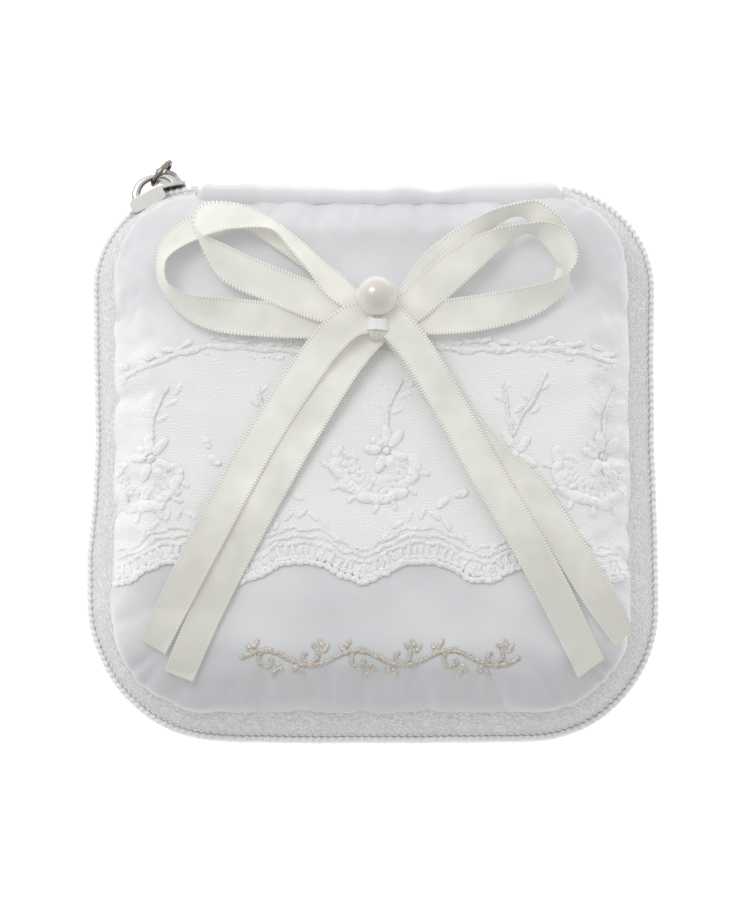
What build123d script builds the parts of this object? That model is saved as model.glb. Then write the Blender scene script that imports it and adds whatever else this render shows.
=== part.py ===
"""Ring bearer pillow case: a padded satin case with a zip round three sides, a folding satin
spine on the fourth, a ring pillow inside, and a lace band and ribbon bow on the front cover.

Frame, in millimetres: the case lies on its back, +X to the right, +Y towards the spine, +Z up
through the front cover. The origin is the centre of the flat underside.
"""
import os
from math import cos, radians, sin

from build123d import *

os.makedirs("parts", exist_ok=True)

# --- Driving dimensions -------------------------------------------------------------------
case_thickness = 36.0
zip_level = case_thickness / 2
wall_height = 10.0                  # from each cover's seam to the middle of the zip

cover_width = 106.4
cover_length = 106.7
cover_top_radius = 17.0
cover_bottom_radius = 21.0
cover_skin = 0.8
back_edge_radius = 4.0              # where the back cover turns from its face to its wall
front_edge_radius = 6.5

board_thickness = 1.4
board_inset = 1.2                   # from the cover's outline
lining_thickness = 1.2
lining_inset = 0.9
stack_gap = 0.1                     # between the layers of the padding

zip_width = 119.0                   # over the coil, the widest part of the case
zip_bottom = -59.65
zip_top = 57.75
zip_top_radius = 23.0
zip_bottom_radius = 27.0

tape_thickness = 0.8
tape_upright = 4.5                  # stretch of tape beside the coil that stands upright
coil_depth = 2.0
coil_height = 2.2
coil_gap = 1.4                      # between the two coils, for the slider's bridge

spine_left = -36.0
spine_right = 39.6
spine_gap = 0.3                     # between the spine's ends and the ends of the tapes
spine_skin = 0.8
spine_fold = cover_length / 2 + 2.0
spine_edge = spine_fold - 0.75      # where the panel's outer face meets each fold

slider_angle = 111.0                # where the slider is parked on the top left corner's arc
slider_half_arc = 14.0
slider_half_width = 4.0
slider_plate = 0.8
slider_clearance = 0.3
bridge_thickness = 0.8
bridge_arc = 8.0

crown_half_length = 5.1
crown_height = 4.5
crown_bar = 1.0
crown_width = 1.6
ring_wire = 0.9
ring_radius = 2.55                  # to the middle of the wire
ring_station = 2.8                  # where the ring hangs along the crown
ring_drop = 0.95
tab_width = 6.4
tab_length = 12.2
tab_thickness = 1.0
tab_hole_radius = 1.2
tab_eye_radius = 2.3

ribbon_width = 7.0
ribbon_thickness = 0.5
knot_size = (8.4, 6.2)
knot_space = (9.0, 6.8)             # left clear in the loops for the knot
knot_corner = 1.8
thread_radius = 1.1                 # of the bundle of threads under the pearl
pearl_radius = 4.05
pearl_place = (1.1, 29.3)
knot_place = (1.3, 21.9)
knot_height = 4.2
loop_height = 1.9

lace_thickness = 0.4
lace_trim = 0.5
lace_half_width = 50.0
lace_top = 19.0
lace_cusp = -24.2
lace_low = -28.0
scallop_pitch = 24.5
scallop_middle = -1.95

pillow_size = (76.0, 72.0, 9.4)

# --- Levels that follow from them ----------------------------------------------------------
back_seam = zip_level - wall_height
front_seam = zip_level + wall_height
back_lining_level = back_seam - lining_thickness
back_board_level = back_lining_level - stack_gap - board_thickness
front_board_level = front_seam + lining_thickness + stack_gap
front_foam_level = front_board_level + board_thickness + stack_gap
cover_top = case_thickness
trim_level = cover_top + lace_thickness
tail_level = trim_level + lace_trim + 0.1
upper_tail_level = tail_level + ribbon_thickness + 0.1
loop_level = upper_tail_level + ribbon_thickness + 0.1
upper_loop_level = loop_level + loop_height + 0.1
corner_x = -zip_width / 2 + zip_top_radius
corner_y = zip_top - zip_top_radius


def finish(part, name):
    """Name a finished piece and write it to its own file."""
    part.part.label = name
    export_step(part.part, f"parts/{name}.step")


# --- Plan outlines, each drawn in the sketch that is open -----------------------------------
def cover_outline(inset=0.0):
    """The padded cover's outline, moved in by inset."""
    Rectangle(cover_width - 2 * inset, cover_length - 2 * inset)
    fillet(vertices().group_by(Axis.Y)[-1], cover_top_radius - inset)
    fillet(vertices().group_by(Axis.Y)[0], cover_bottom_radius - inset)


def zip_outline(inset=0.0):
    """The outline over the zip's coil, moved in by inset."""
    with Locations((0, (zip_top + zip_bottom) / 2)):
        Rectangle(zip_width - 2 * inset, zip_top - zip_bottom - 2 * inset)
    fillet(vertices().group_by(Axis.Y)[-1], zip_top_radius - inset)
    fillet(vertices().group_by(Axis.Y)[0], zip_bottom_radius - inset)


def pad(inset, low, high, radius, rounded):
    """A slab of the cover's outline in the open part; rounded picks its softened face."""
    with BuildPart(mode=Mode.PRIVATE) as slab:
        with BuildSketch(Plane.XY.offset(low)):
            cover_outline(inset)
        extrude(amount=high - low)
        fillet(slab.faces().sort_by(Axis.Z)[rounded].edges(), radius)
    return slab.part


def cut_spine_gap(margin=0.0):
    """Take the stretch where the spine is out of the open part."""
    left = spine_left - spine_gap - margin
    right = spine_right + spine_gap + margin
    with BuildSketch(Plane.XY) as gap:
        with Locations(((left + right) / 2, cover_length / 2)):
            Rectangle(right - left, cover_length / 2)
    extrude(gap.sketch, amount=case_thickness, mode=Mode.SUBTRACT)


def cut_slider_way():
    """Clear the front half of the zip over the corner where the slider runs."""
    with BuildSketch(Plane.XY.offset(zip_level)) as way:
        with Locations((-zip_width / 2, zip_top)):
            Rectangle(2 * zip_top_radius + 1, 2 * zip_top_radius + 3.5)
    extrude(way.sketch, amount=slider_half_width + 1.0, mode=Mode.SUBTRACT)


def side_level(side, distance):
    """Height at a distance from the zip's middle; side is -1 for the back, 1 for the front."""
    return zip_level + side * distance


# --- The back half -------------------------------------------------------------------------
with BuildPart() as back_cover:
    add(pad(0, 0, back_seam, back_edge_radius, 0))
    add(pad(cover_skin, cover_skin, back_seam, back_edge_radius - cover_skin, 0),
        mode=Mode.SUBTRACT)
finish(back_cover, "back_cover")

with BuildPart() as back_foam:
    add(pad(cover_skin + 0.6, cover_skin + 0.2, back_board_level - stack_gap, 3.0, 0))
finish(back_foam, "back_foam")

with BuildPart() as back_board:
    with BuildSketch(Plane.XY.offset(back_board_level)):
        cover_outline(board_inset)
    extrude(amount=board_thickness)
finish(back_board, "back_board")

with BuildPart() as back_lining:
    with BuildSketch(Plane.XY.offset(back_lining_level)):
        cover_outline(lining_inset)
    extrude(amount=lining_thickness)
finish(back_lining, "back_lining")


# --- The front half ------------------------------------------------------------------------
with BuildPart() as front_cover:
    add(pad(0, front_seam, cover_top, front_edge_radius, -1))
    add(pad(cover_skin, front_seam, cover_top - cover_skin, front_edge_radius - cover_skin, -1),
        mode=Mode.SUBTRACT)
finish(front_cover, "front_cover")

with BuildPart() as front_foam:
    add(pad(cover_skin + board_inset, front_foam_level, cover_top - cover_skin - stack_gap, 4.2, -1))
finish(front_foam, "front_foam")

with BuildPart() as front_board:
    with BuildSketch(Plane.XY.offset(front_board_level)):
        cover_outline(board_inset)
    extrude(amount=board_thickness)
finish(front_board, "front_board")

with BuildPart() as front_lining:
    with BuildSketch(Plane.XY.offset(front_seam)):
        cover_outline(lining_inset)
    extrude(amount=lining_thickness)
finish(front_lining, "front_lining")


# --- The zip: a tape and a coil on each half -------------------------------------------------
for side, half in ((-1, "back"), (1, "front")):
    seam = side_level(side, wall_height)
    bend = side_level(side, tape_upright)
    edge = side_level(side, coil_gap / 2)

    with BuildPart() as zip_tape:
        for inset, mode in ((0, Mode.ADD), (tape_thickness, Mode.SUBTRACT)):
            with BuildSketch(Plane.XY.offset(seam)):
                cover_outline(inset)
            with BuildSketch(Plane.XY.offset(bend)):
                zip_outline(coil_depth + inset)
            loft(ruled=True, mode=mode)
            with BuildSketch(Plane.XY.offset(min(bend, edge))):
                zip_outline(coil_depth + inset)
            extrude(amount=abs(edge - bend), mode=mode)
        cut_spine_gap()
        if side > 0:
            cut_slider_way()
    finish(zip_tape, f"{half}_zip_tape")

    with BuildPart() as coil:
        with BuildSketch(Plane.XY.offset(min(edge, edge + side * coil_height))):
            zip_outline()
        extrude(amount=coil_height)
        with BuildSketch(Plane.XY.offset(min(edge, edge + side * coil_height))):
            zip_outline(coil_depth)
        extrude(amount=coil_height, mode=Mode.SUBTRACT)
        cut_spine_gap(2.0)
        if side > 0:
            cut_slider_way()
    finish(coil, f"{half}_coil")

# A small clip closes each end of the back coil.
stop_size = (1.6, coil_depth, coil_height)
stop_offset = spine_gap + 1.1
with BuildPart() as zip_end_stops:
    with Locations(
        (spine_left - stop_offset, zip_top - coil_depth / 2, zip_level - 1.8),
        (spine_right + stop_offset, zip_top - coil_depth / 2 - 0.2, zip_level - 1.8),
    ):
        Box(*stop_size)
finish(zip_end_stops, "zip_end_stops")


# --- The spine that joins the halves ---------------------------------------------------------
def spine_shell(depth, thickness):
    """A bowed strip under the spine's outer face, from fold to fold, in the open part."""
    low, high = back_seam + 0.7, front_seam - 0.7
    with BuildSketch(Plane.YZ.offset(spine_left)) as profile:
        with BuildLine():
            outer = ThreePointArc(
                (spine_edge - depth, low),
                (zip_top - depth, zip_level),
                (spine_edge - depth, high),
            )
            inner = ThreePointArc(
                (spine_edge - depth - thickness, low),
                (zip_top - depth - thickness, zip_level),
                (spine_edge - depth - thickness, high),
            )
            Line(outer @ 0, inner @ 0)
            Line(outer @ 1, inner @ 1)
        make_face()
    extrude(profile.sketch, amount=spine_right - spine_left)


with BuildPart() as spine_panel:
    spine_shell(0, spine_skin)
finish(spine_panel, "spine_panel")

with BuildPart() as spine_lining:
    spine_shell(spine_skin + 0.05, 0.5)
finish(spine_lining, "spine_lining")


# --- Slider, crown, jump ring and pull tab ----------------------------------------------------
plate_inner = zip_top_radius + slider_clearance
plate_outer = plate_inner + slider_plate
back_plate_outer = zip_top_radius - coil_depth - tape_thickness - slider_clearance
corner_axis = Axis((corner_x, corner_y, 0), (0, 0, 1))


def corner_plane(angle):
    """A plane through the corner's axis: local X points outwards at angle, local Y up."""
    out = Vector(cos(radians(angle)), sin(radians(angle)), 0)
    across = Vector(sin(radians(angle)), -cos(radians(angle)), 0)
    return Plane(origin=(corner_x, corner_y, zip_level), x_dir=out, z_dir=across)


with BuildPart() as slider_body:
    with BuildSketch(corner_plane(slider_angle - slider_half_arc)):
        with Locations(((plate_inner + plate_outer) / 2, 0)):
            Rectangle(slider_plate, 2 * slider_half_width)
        with Locations((back_plate_outer - slider_plate / 2, 0)):
            Rectangle(slider_plate, 2 * slider_half_width)
        lip_depth = plate_inner - (zip_top_radius - coil_depth) - slider_clearance
        with Locations((plate_inner - lip_depth / 2, slider_half_width - slider_plate / 2),
                       (plate_inner - lip_depth / 2, slider_plate / 2 - slider_half_width)):
            Rectangle(lip_depth, slider_plate)
    revolve(axis=corner_axis, revolution_arc=2 * slider_half_arc)
    with BuildSketch(corner_plane(slider_angle - slider_half_arc)):
        with Locations(((back_plate_outer + plate_inner) / 2, 0)):
            Rectangle(plate_inner - back_plate_outer, bridge_thickness)
    revolve(axis=corner_axis, revolution_arc=bridge_arc)
finish(slider_body, "slider_body")

plate_point = corner_plane(slider_angle).from_local_coords((plate_outer, 0, 0))
crown_plane = Plane(origin=plate_point, x_dir=corner_plane(slider_angle).z_dir, z_dir=(0, 0, 1))
bar_half_length = crown_half_length - crown_bar / 2
bar_height = crown_height - crown_bar / 2

with BuildPart() as slider_crown:
    with BuildSketch(crown_plane):
        Ellipse(crown_half_length, crown_height)
        with Locations((0, -1)):
            Rectangle(2 * crown_half_length, 2)
        Ellipse(crown_half_length - crown_bar, crown_height - crown_bar, mode=Mode.SUBTRACT)
        with Locations((0, -1)):
            Rectangle(2 * (crown_half_length - crown_bar), 2.2, mode=Mode.SUBTRACT)
        with Locations((0, -plate_outer)):
            Circle(plate_outer, mode=Mode.SUBTRACT)
    extrude(amount=crown_width / 2, both=True)
finish(slider_crown, "slider_crown")

# The ring hangs on the bar's sloping shoulder, its plane square to the bar there.
station_height = bar_height * (1 - (ring_station / bar_half_length) ** 2) ** 0.5
bar_point = crown_plane.from_local_coords((ring_station, station_height, 0))
bar_slope = Vector(bar_half_length**2 * station_height, -(bar_height**2) * ring_station, 0)
bar_direction = (
    crown_plane.from_local_coords(bar_slope) - crown_plane.from_local_coords((0, 0, 0))
).normalized()
wire_direction = Vector(-bar_direction.Y, bar_direction.X, 0)
ring_centre = bar_point - Vector(0, 0, ring_drop)
section_plane = Plane(origin=ring_centre, x_dir=wire_direction, z_dir=(0, 0, 1))

with BuildPart() as jump_ring:
    with BuildSketch(section_plane):
        with Locations((ring_radius, 0)):
            Circle(ring_wire / 2)
    revolve(axis=Axis(ring_centre, bar_direction))
finish(jump_ring, "jump_ring")

wire_bottom = ring_centre - Vector(0, 0, ring_radius)
eye_centre = wire_bottom - Vector(0, 0, tab_hole_radius - ring_wire / 2 - 0.08)
tab_plane = Plane(origin=eye_centre, x_dir=bar_direction, z_dir=wire_direction)
tab_down = -1 if tab_plane.y_dir.Z > 0 else 1

with BuildPart() as pull_tab:
    with BuildSketch(tab_plane):
        Circle(tab_eye_radius)
        tab_middle = tab_down * (tab_length - tab_eye_radius - tab_width / 2)
        with Locations((0, tab_middle)):
            Circle(tab_width / 2)
        make_hull()
        Circle(tab_hole_radius, mode=Mode.SUBTRACT)
    extrude(amount=tab_thickness / 2, both=True)
    fillet(pull_tab.edges().filter_by(GeomType.LINE, reverse=True), 0.2)
finish(pull_tab, "pull_tab")


# --- Ring pillow and its ribbons, inside the case ---------------------------------------------
pillow_top = back_seam + pillow_size[2]
with BuildPart() as ring_pillow:
    with BuildSketch(Plane.XY.offset(back_seam)):
        RectangleRounded(pillow_size[0], pillow_size[1], 12)
    extrude(amount=pillow_size[2])
    fillet(ring_pillow.faces().sort_by(Axis.Z)[-1].edges(), 4.0)
    fillet(ring_pillow.faces().sort_by(Axis.Z)[0].edges(), 3.0)
finish(ring_pillow, "ring_pillow")

for place, name in ((-9.0, "ring_ribbon_left"), (9.0, "ring_ribbon_right")):
    outward = 1 if place > 0 else -1
    with BuildPart() as ring_ribbon:
        with BuildSketch(Plane.XY.offset(pillow_top)):
            with Locations((place, 0)):
                Circle(2.2)
            with BuildLine():
                Spline((place, 0), (place + outward * 6, -9), (place + outward * 9, -24))
            trace(line_width=3.0)
            with BuildLine():
                Spline((place, 0), (place + outward * 7, 6), (place + outward * 14, 2))
            trace(line_width=3.0)
        extrude(amount=0.4)
    finish(ring_ribbon, name)


# --- Lace band over the front cover ---------------------------------------------------------
def scallop_line():
    """Draw the row of scallops in the open line, from left to right."""
    for step in range(-3, 3):
        left = scallop_middle + (step - 0.5) * scallop_pitch
        middle = left + scallop_pitch / 2
        ThreePointArc((left, lace_cusp), (middle, lace_low), (left + scallop_pitch, lace_cusp))


def lace_top_line():
    """Draw the gently waving upper edge in the open line."""
    half = lace_half_width
    Spline((-half, lace_top - 2.5), (-half * 0.6, lace_top - 0.5), (-half * 0.2, lace_top + 1.3),
           (half * 0.25, lace_top + 0.6), (half * 0.65, lace_top - 1), (half, lace_top - 1.6))


with BuildPart() as lace_band:
    with BuildSketch(Plane.XY.offset(cover_top)):
        with BuildLine():
            lace_top_line()
            Polyline((-lace_half_width, lace_top - 2.5), (-lace_half_width, -40),
                     (lace_half_width, -40), (lace_half_width, lace_top - 1.6))
        make_face()
        with BuildLine(mode=Mode.PRIVATE) as hem:
            scallop_line()
            Polyline(hem.line @ 1, (80, 60), (-90, 60), hem.line @ 0)
        make_face(hem.edges(), mode=Mode.INTERSECT)
    extrude(amount=lace_thickness)
finish(lace_band, "lace_band")

for name, draw in (("lace_top_edge", lace_top_line), ("lace_scallop_edge", scallop_line)):
    with BuildPart() as lace_edge:
        with BuildSketch(Plane.XY.offset(trim_level)):
            with BuildLine():
                draw()
            trace(line_width=1.0)
            with Locations((0, -5)):
                Rectangle(2 * lace_half_width, 80, mode=Mode.INTERSECT)
        extrude(amount=lace_trim)
    finish(lace_edge, name)

flower_places = ((-46.0, -5.2), (0.7, -5.2), (46.0, -5.2))
with BuildPart() as lace_flowers:
    with BuildSketch(Plane.XY.offset(trim_level)) as flowers:
        for place in flower_places:
            with Locations(place):
                Circle(2.0)
                with PolarLocations(4.2, 6):
                    Ellipse(3.6, 2.3)
            with Locations((place[0], place[1] - 8.5)):
                Ellipse(1.6, 3.6)
        with Locations((0, -5)):
            Rectangle(2 * lace_half_width, 60, mode=Mode.INTERSECT)
    extrude(amount=lace_trim)
finish(lace_flowers, "lace_flowers")

with BuildPart() as lace_sprigs:
    with BuildSketch(Plane.XY.offset(trim_level)):
        for start, lean in (((30.1, -9.0), 8.0), ((-29.6, -9.0), -5.0)):
            with BuildLine():
                stem = Spline(start, (start[0] + lean * 0.4, start[1] + 7),
                              (start[0] + lean, start[1] + 13))
            trace(line_width=0.8)
            for share in (0.3, 0.6, 0.9):
                point = stem @ share
                with Locations((point.X - 1.9, point.Y), (point.X + 1.9, point.Y)):
                    Ellipse(2.3, 1.1)
    extrude(amount=lace_trim)
finish(lace_sprigs, "lace_sprigs")


# --- Embroidered scroll near the front edge ---------------------------------------------------
scroll_middle = (1.7, -42.8)
with BuildPart() as embroidered_scroll:
    with BuildSketch(Plane.XY.offset(cover_top)):
        for outward in (-1, 1):
            x, y = scroll_middle
            with BuildLine():
                stem = Spline((x, y), (x + outward * 10, y + 1.6), (x + outward * 19, y - 1.4),
                              (x + outward * 26, y + 0.9))
            trace(line_width=1.0)
            for share, above in ((0.2, 1), (0.4, -1), (0.6, 1), (0.8, -1)):
                point = stem @ share
                with Locations((point.X, point.Y + above * 1.7)):
                    Ellipse(2.0, 1.3)
    extrude(amount=0.5)
finish(embroidered_scroll, "embroidered_scroll")


# --- Ribbon bow -------------------------------------------------------------------------------
tails = (
    ("bow_tail_left_outer", tail_level,
     ((-3.0, 23.0), (-13.2, 14.0), (-23.9, -2.4), (-35.1, -23.5), (-43.0, -40.6))),
    ("bow_tail_left_inner", upper_tail_level,
     ((-0.9, 22.0), (-7.6, 13.9), (-18.3, -5.4), (-30.4, -28.3), (-38.4, -46.0))),
    ("bow_tail_right_front", upper_tail_level,
     ((4.6, 22.0), (13.6, 9.6), (22.7, -5.4), (34.4, -26.1), (43.7, -44.8))),
    ("bow_tail_right_back", tail_level,
     ((5.0, 22.0), (17.0, 8.5), (31.0, -8.5), (38.5, -19.0), (49.0, -37.6))),
)
for name, level, points in tails:
    with BuildPart() as tail:
        with BuildSketch(Plane.XY.offset(level)):
            with BuildLine():
                Spline(*points)
            trace(line_width=ribbon_width)
        extrude(amount=ribbon_thickness)
    finish(tail, name)

loops = (
    ("bow_loop_left_lower", loop_level,
     ((-10.0, 33.0), (-24.0, 43.5), (-35.5, 47.0), (-41.0, 43.8), (-43.8, 37.3), (-41.5, 29.5),
      (-34.0, 23.4), (-24.0, 21.7), (-12.0, 21.5), (-3.0, 24.5)),
     ((-24.0, 36.0), (-36.5, 40.0), (-41.0, 35.0), (-38.5, 30.4), (-28.9, 29.3), (-14.0, 29.2))),
    ("bow_loop_left_upper", upper_loop_level,
     ((-4.8, 33.5), (-14.1, 41.3), (-26.1, 48.9), (-33.6, 49.3), (-36.3, 45.8), (-35.2, 40.0),
      (-30.0, 33.2), (-20.0, 28.1), (-9.3, 24.2), (-3.5, 26.0)),
     ((-20.4, 42.6), (-27.0, 43.3), (-32.0, 42.0), (-24.2, 38.2), (-15.0, 34.6))),
    ("bow_loop_right_lower", loop_level,
     ((5.2, 24.0), (12.0, 22.1), (24.0, 23.1), (34.6, 26.8), (40.0, 32.5), (41.2, 39.5),
      (38.0, 44.0), (28.0, 42.0), (10.0, 33.0)),
     ((15.3, 29.5), (25.2, 30.3), (33.5, 32.4), (36.5, 36.0), (33.6, 39.6), (24.0, 36.4))),
    ("bow_loop_right_upper", upper_loop_level,
     ((6.0, 25.5), (10.0, 25.0), (16.5, 30.3), (24.2, 37.6), (32.2, 42.4), (37.9, 35.5),
      (41.3, 36.8), (40.6, 42.8), (34.8, 48.8), (23.7, 47.0), (13.5, 41.0), (7.0, 32.5)),
     ((25.5, 43.2), (31.0, 44.6), (28.4, 45.8))),
)
for name, level, outside, inside in loops:
    with BuildPart() as loop:
        with BuildSketch(Plane.XY.offset(level)):
            with BuildLine():
                Spline(*outside, periodic=True)
            make_face()
            with BuildLine():
                Spline(*inside, periodic=True)
            make_face(mode=Mode.SUBTRACT)
            with Locations(pearl_place):
                Circle(pearl_radius + 0.3, mode=Mode.SUBTRACT)
            with Locations(knot_place):
                Rectangle(*knot_space, mode=Mode.SUBTRACT)
        extrude(amount=loop_height)
    finish(loop, name)

with BuildPart() as bow_knot:
    with BuildSketch(Plane.XY.offset(loop_level)):
        with Locations(knot_place):
            RectangleRounded(*knot_size, knot_corner)
    extrude(amount=knot_height)
    fillet(bow_knot.faces().sort_by(Axis.Z)[-1].edges(), 1.4)
finish(bow_knot, "bow_knot")

with BuildPart() as pearl:
    with Locations((*pearl_place, loop_level + 0.1 + pearl_radius)):
        Sphere(pearl_radius)
finish(pearl, "pearl")

with BuildPart() as pearl_thread:
    with Locations((pearl_place[0], pearl_place[1], trim_level + 0.7)):
        Cylinder(thread_radius, loop_level - trim_level - 0.8,
                 align=(Align.CENTER, Align.CENTER, Align.MIN))
finish(pearl_thread, "pearl_thread")
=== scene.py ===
import math
import random
from collections import namedtuple

import bpy
import numpy as np
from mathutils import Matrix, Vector, noise
from mathutils.bvhtree import BVHTree


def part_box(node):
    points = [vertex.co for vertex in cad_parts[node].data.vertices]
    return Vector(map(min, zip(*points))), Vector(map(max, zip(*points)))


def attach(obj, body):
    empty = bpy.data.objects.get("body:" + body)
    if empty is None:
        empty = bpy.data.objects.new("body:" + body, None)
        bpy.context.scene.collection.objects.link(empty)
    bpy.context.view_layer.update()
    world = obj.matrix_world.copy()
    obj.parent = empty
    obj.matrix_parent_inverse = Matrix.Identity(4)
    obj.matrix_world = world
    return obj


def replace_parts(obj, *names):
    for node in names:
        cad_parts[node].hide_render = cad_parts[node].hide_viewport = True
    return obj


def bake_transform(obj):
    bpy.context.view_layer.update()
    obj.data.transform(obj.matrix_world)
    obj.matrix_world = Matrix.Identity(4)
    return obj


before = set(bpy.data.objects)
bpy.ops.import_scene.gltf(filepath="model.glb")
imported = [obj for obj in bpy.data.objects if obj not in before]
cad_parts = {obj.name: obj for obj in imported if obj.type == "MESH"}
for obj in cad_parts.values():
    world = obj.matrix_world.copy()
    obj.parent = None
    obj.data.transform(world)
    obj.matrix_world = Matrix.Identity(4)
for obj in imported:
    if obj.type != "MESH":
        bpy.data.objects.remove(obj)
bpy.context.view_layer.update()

# The looks of the ring pillow case. Lengths below are in millimetres, in the frame of the CAD
# model, and MM turns them into Blender's metres.
MM = 0.001


def corners(node):
    """A CAD node's lowest and highest corners in millimetres."""
    low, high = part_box(node)
    return np.array(low) / MM, np.array(high) / MM


# --- Sizes taken from the frame -------------------------------------------------------------
BACK_LOW, BACK_HIGH = corners("back_cover")
FRONT_LOW, FRONT_HIGH = corners("front_cover")
COIL_LOW, COIL_HIGH = corners("back_coil")
SPINE_LOW, SPINE_HIGH = corners("spine_panel")
PEARL_LOW, PEARL_HIGH = corners("pearl")
ZIP_LEVEL = (BACK_LOW[2] + FRONT_HIGH[2]) / 2
COIL_DEPTH = 2.0        # from the zip's outline in to the tape's folded edge
TAPE_UPRIGHT = 3.4      # from the zip's level to the tape's fold
COVER_COUNT = 113       # points along each side of a cover's grid

Shape = namedtuple("Shape", "half_width bottom top top_radius bottom_radius")
COVER = Shape(FRONT_HIGH[0], FRONT_LOW[1], FRONT_HIGH[1], 17.0, 21.0)
ZIP = Shape(COIL_HIGH[0], COIL_LOW[1], SPINE_HIGH[1], 23.0, 27.0)


# --- Small tools ------------------------------------------------------------------------------
def smooth(x):
    """0 below 0, 1 above 1, and an even curve between."""
    x = np.clip(x, 0.0, 1.0)
    return x * x * (3 - 2 * x)


def unit(vectors):
    """Vectors along the last axis, each brought to length 1."""
    return vectors / np.maximum(np.linalg.norm(vectors, axis=-1, keepdims=True), 1e-9)


def rough(x, y, seed):
    """Smooth two-dimensional noise, with a feature length of 1."""
    return np.array([noise.noise(Vector((a, b, seed))) for a, b in zip(x, y)])


def wave(position, seed, octaves=3):
    """Smooth one-dimensional noise of about unit size, with a feature length of 1."""
    position = np.atleast_1d(np.asarray(position, float))
    total = np.zeros(len(position))
    for i, p in enumerate(position):
        total[i] = noise.fractal(Vector((p, seed * 7.3, seed * 1.7)), 1.0, 2.0, octaves)
    return total


def piece(name, points, faces, body, material, smooth_shading=True):
    """A mesh object from points in millimetres, riding on a body."""
    mesh = bpy.data.meshes.new(name)
    mesh.from_pydata((np.asarray(points, float) * MM).tolist(), [], faces)
    mesh.validate()
    mesh.update()
    mesh.polygons.foreach_set("use_smooth", [smooth_shading] * len(mesh.polygons))
    thing = bpy.data.objects.new(name, mesh)
    bpy.context.scene.collection.objects.link(thing)
    mesh.materials.append(material)
    if body:
        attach(thing, body)
    return thing


def set_uv(thing, coordinates):
    """Give a mesh one UV layer, in millimetres, from a list of (u, v) per vertex."""
    layer = thing.data.uv_layers.new(name="cloth")
    loops = np.empty(len(thing.data.loops), np.int32)
    thing.data.loops.foreach_get("vertex_index", loops)
    layer.data.foreach_set("uv", np.asarray(coordinates, np.float32)[loops].ravel())


def grid_faces(rows, columns, close_rows=False, close_columns=False, offset=0):
    """Quads over a grid of points stored row by row."""
    faces = []
    for r in range(rows if close_rows else rows - 1):
        for c in range(columns if close_columns else columns - 1):
            a = r * columns + c
            b = r * columns + (c + 1) % columns
            d = ((r + 1) % rows) * columns + c
            e = ((r + 1) % rows) * columns + (c + 1) % columns
            faces.append((a + offset, b + offset, e + offset, d + offset))
    return faces


def end_caps(rows, columns, offset=0):
    """The two faces that close a tube stored row by row."""
    last = (rows - 1) * columns + offset
    return [tuple(offset + k for k in reversed(range(columns))),
            tuple(last + k for k in range(columns))]


def thicken(thing, thickness, offset=-1):
    """Give a sheet a thickness in millimetres."""
    skin = thing.modifiers.new("skin", "SOLIDIFY")
    skin.thickness = thickness * MM
    skin.offset = offset


def refine(thing):
    """Split every face once and round the result."""
    subdivision = thing.modifiers.new("fine", "SUBSURF")
    subdivision.levels = subdivision.render_levels = 1


def soften(thing, width):
    """Round a hard piece's edges."""
    edges = thing.modifiers.new("edges", "BEVEL")
    edges.width = width * MM
    edges.segments = 3
    edges.limit_method = "ANGLE"
    edges.angle_limit = math.radians(35)


def way(shape, share, end_x):
    """Points and outward normals along a shape's outline, from the spine's left end round the
    left, bottom and right sides to the place in the last corner where x is end_x. share runs
    0 to 1, and as all shapes use the zip's own stretches, the same share is at the same station
    on every one."""
    hw, bottom, top, rt, rb = shape
    stop = math.asin(np.clip((end_x - hw + rt) / rt, 0, 1))
    lengths = [36.1, 67.4, 42.4, 65.0, 42.4, 67.4, 32.7]
    edges = np.concatenate([[0], np.cumsum(lengths)]) / sum(lengths)
    share = np.atleast_1d(share)
    out, normal = np.zeros((len(share), 2)), np.zeros((len(share), 2))
    arcs = {0: ((-hw + rt, top - rt), rt, math.pi / 2, math.pi),
            2: ((-hw + rb, bottom + rb), rb, math.pi, 1.5 * math.pi),
            4: ((hw - rb, bottom + rb), rb, 1.5 * math.pi, 2 * math.pi),
            6: ((hw - rt, top - rt), rt, 0, math.pi / 2 - stop)}
    lines = {1: ((-hw, top - rt), (-hw, bottom + rb), (-1, 0)),
             3: ((-hw + rb, bottom), (hw - rb, bottom), (0, -1)),
             5: ((hw, bottom + rb), (hw, top - rt), (1, 0))}
    for k in range(7):
        here = (share >= edges[k]) & (share <= edges[k + 1] + 1e-9)
        t = ((share[here] - edges[k]) / (edges[k + 1] - edges[k]))[:, None]
        if k in arcs:
            centre, radius, start, finish = arcs[k]
            angle = start + (finish - start) * t
            normal[here] = np.hstack([np.cos(angle), np.sin(angle)])
            out[here] = np.array(centre) + radius * normal[here]
        else:
            a, b, n = (np.array(x, float) for x in lines[k])
            normal[here] = n
            out[here] = a + (b - a) * t
    return out, normal


WAY_LENGTH = 354.0      # along the outside of the coil, end to end
WAY_END = 39.9
# How far the soft zip stands inside its drawn outline, from the spine's left end round to the
# right: (place along the way, millimetres inwards). The left side is drawn in the most.
SETTLE = np.array([(0, 0.5), (12, 0.7), (25, 0.8), (36, 1.0), (52, 1.4), (68, 1.9), (80, 1.5),
                   (92, 0.5), (103, 0.7), (113, 1.6), (126, 1.6), (140, 1.0), (152, 0.2),
                   (180, 0.0), (205, 0.2), (220, 0.5), (236, 0.6), (256, 0.2), (272, 0.2),
                   (290, 0.6), (310, 0.4), (330, 0.0), (354, 0.0)])


def zip_way(share):
    """Points and outward normals along the zip as it lies."""
    line, normal = way(ZIP, share, WAY_END)
    along = np.atleast_1d(share) * WAY_LENGTH
    drawn = np.interp(along, SETTLE[:, 0], SETTLE[:, 1])
    drawn = drawn + 0.12 * wave(along / 14, 21)
    return line - normal * drawn[:, None], normal


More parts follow.
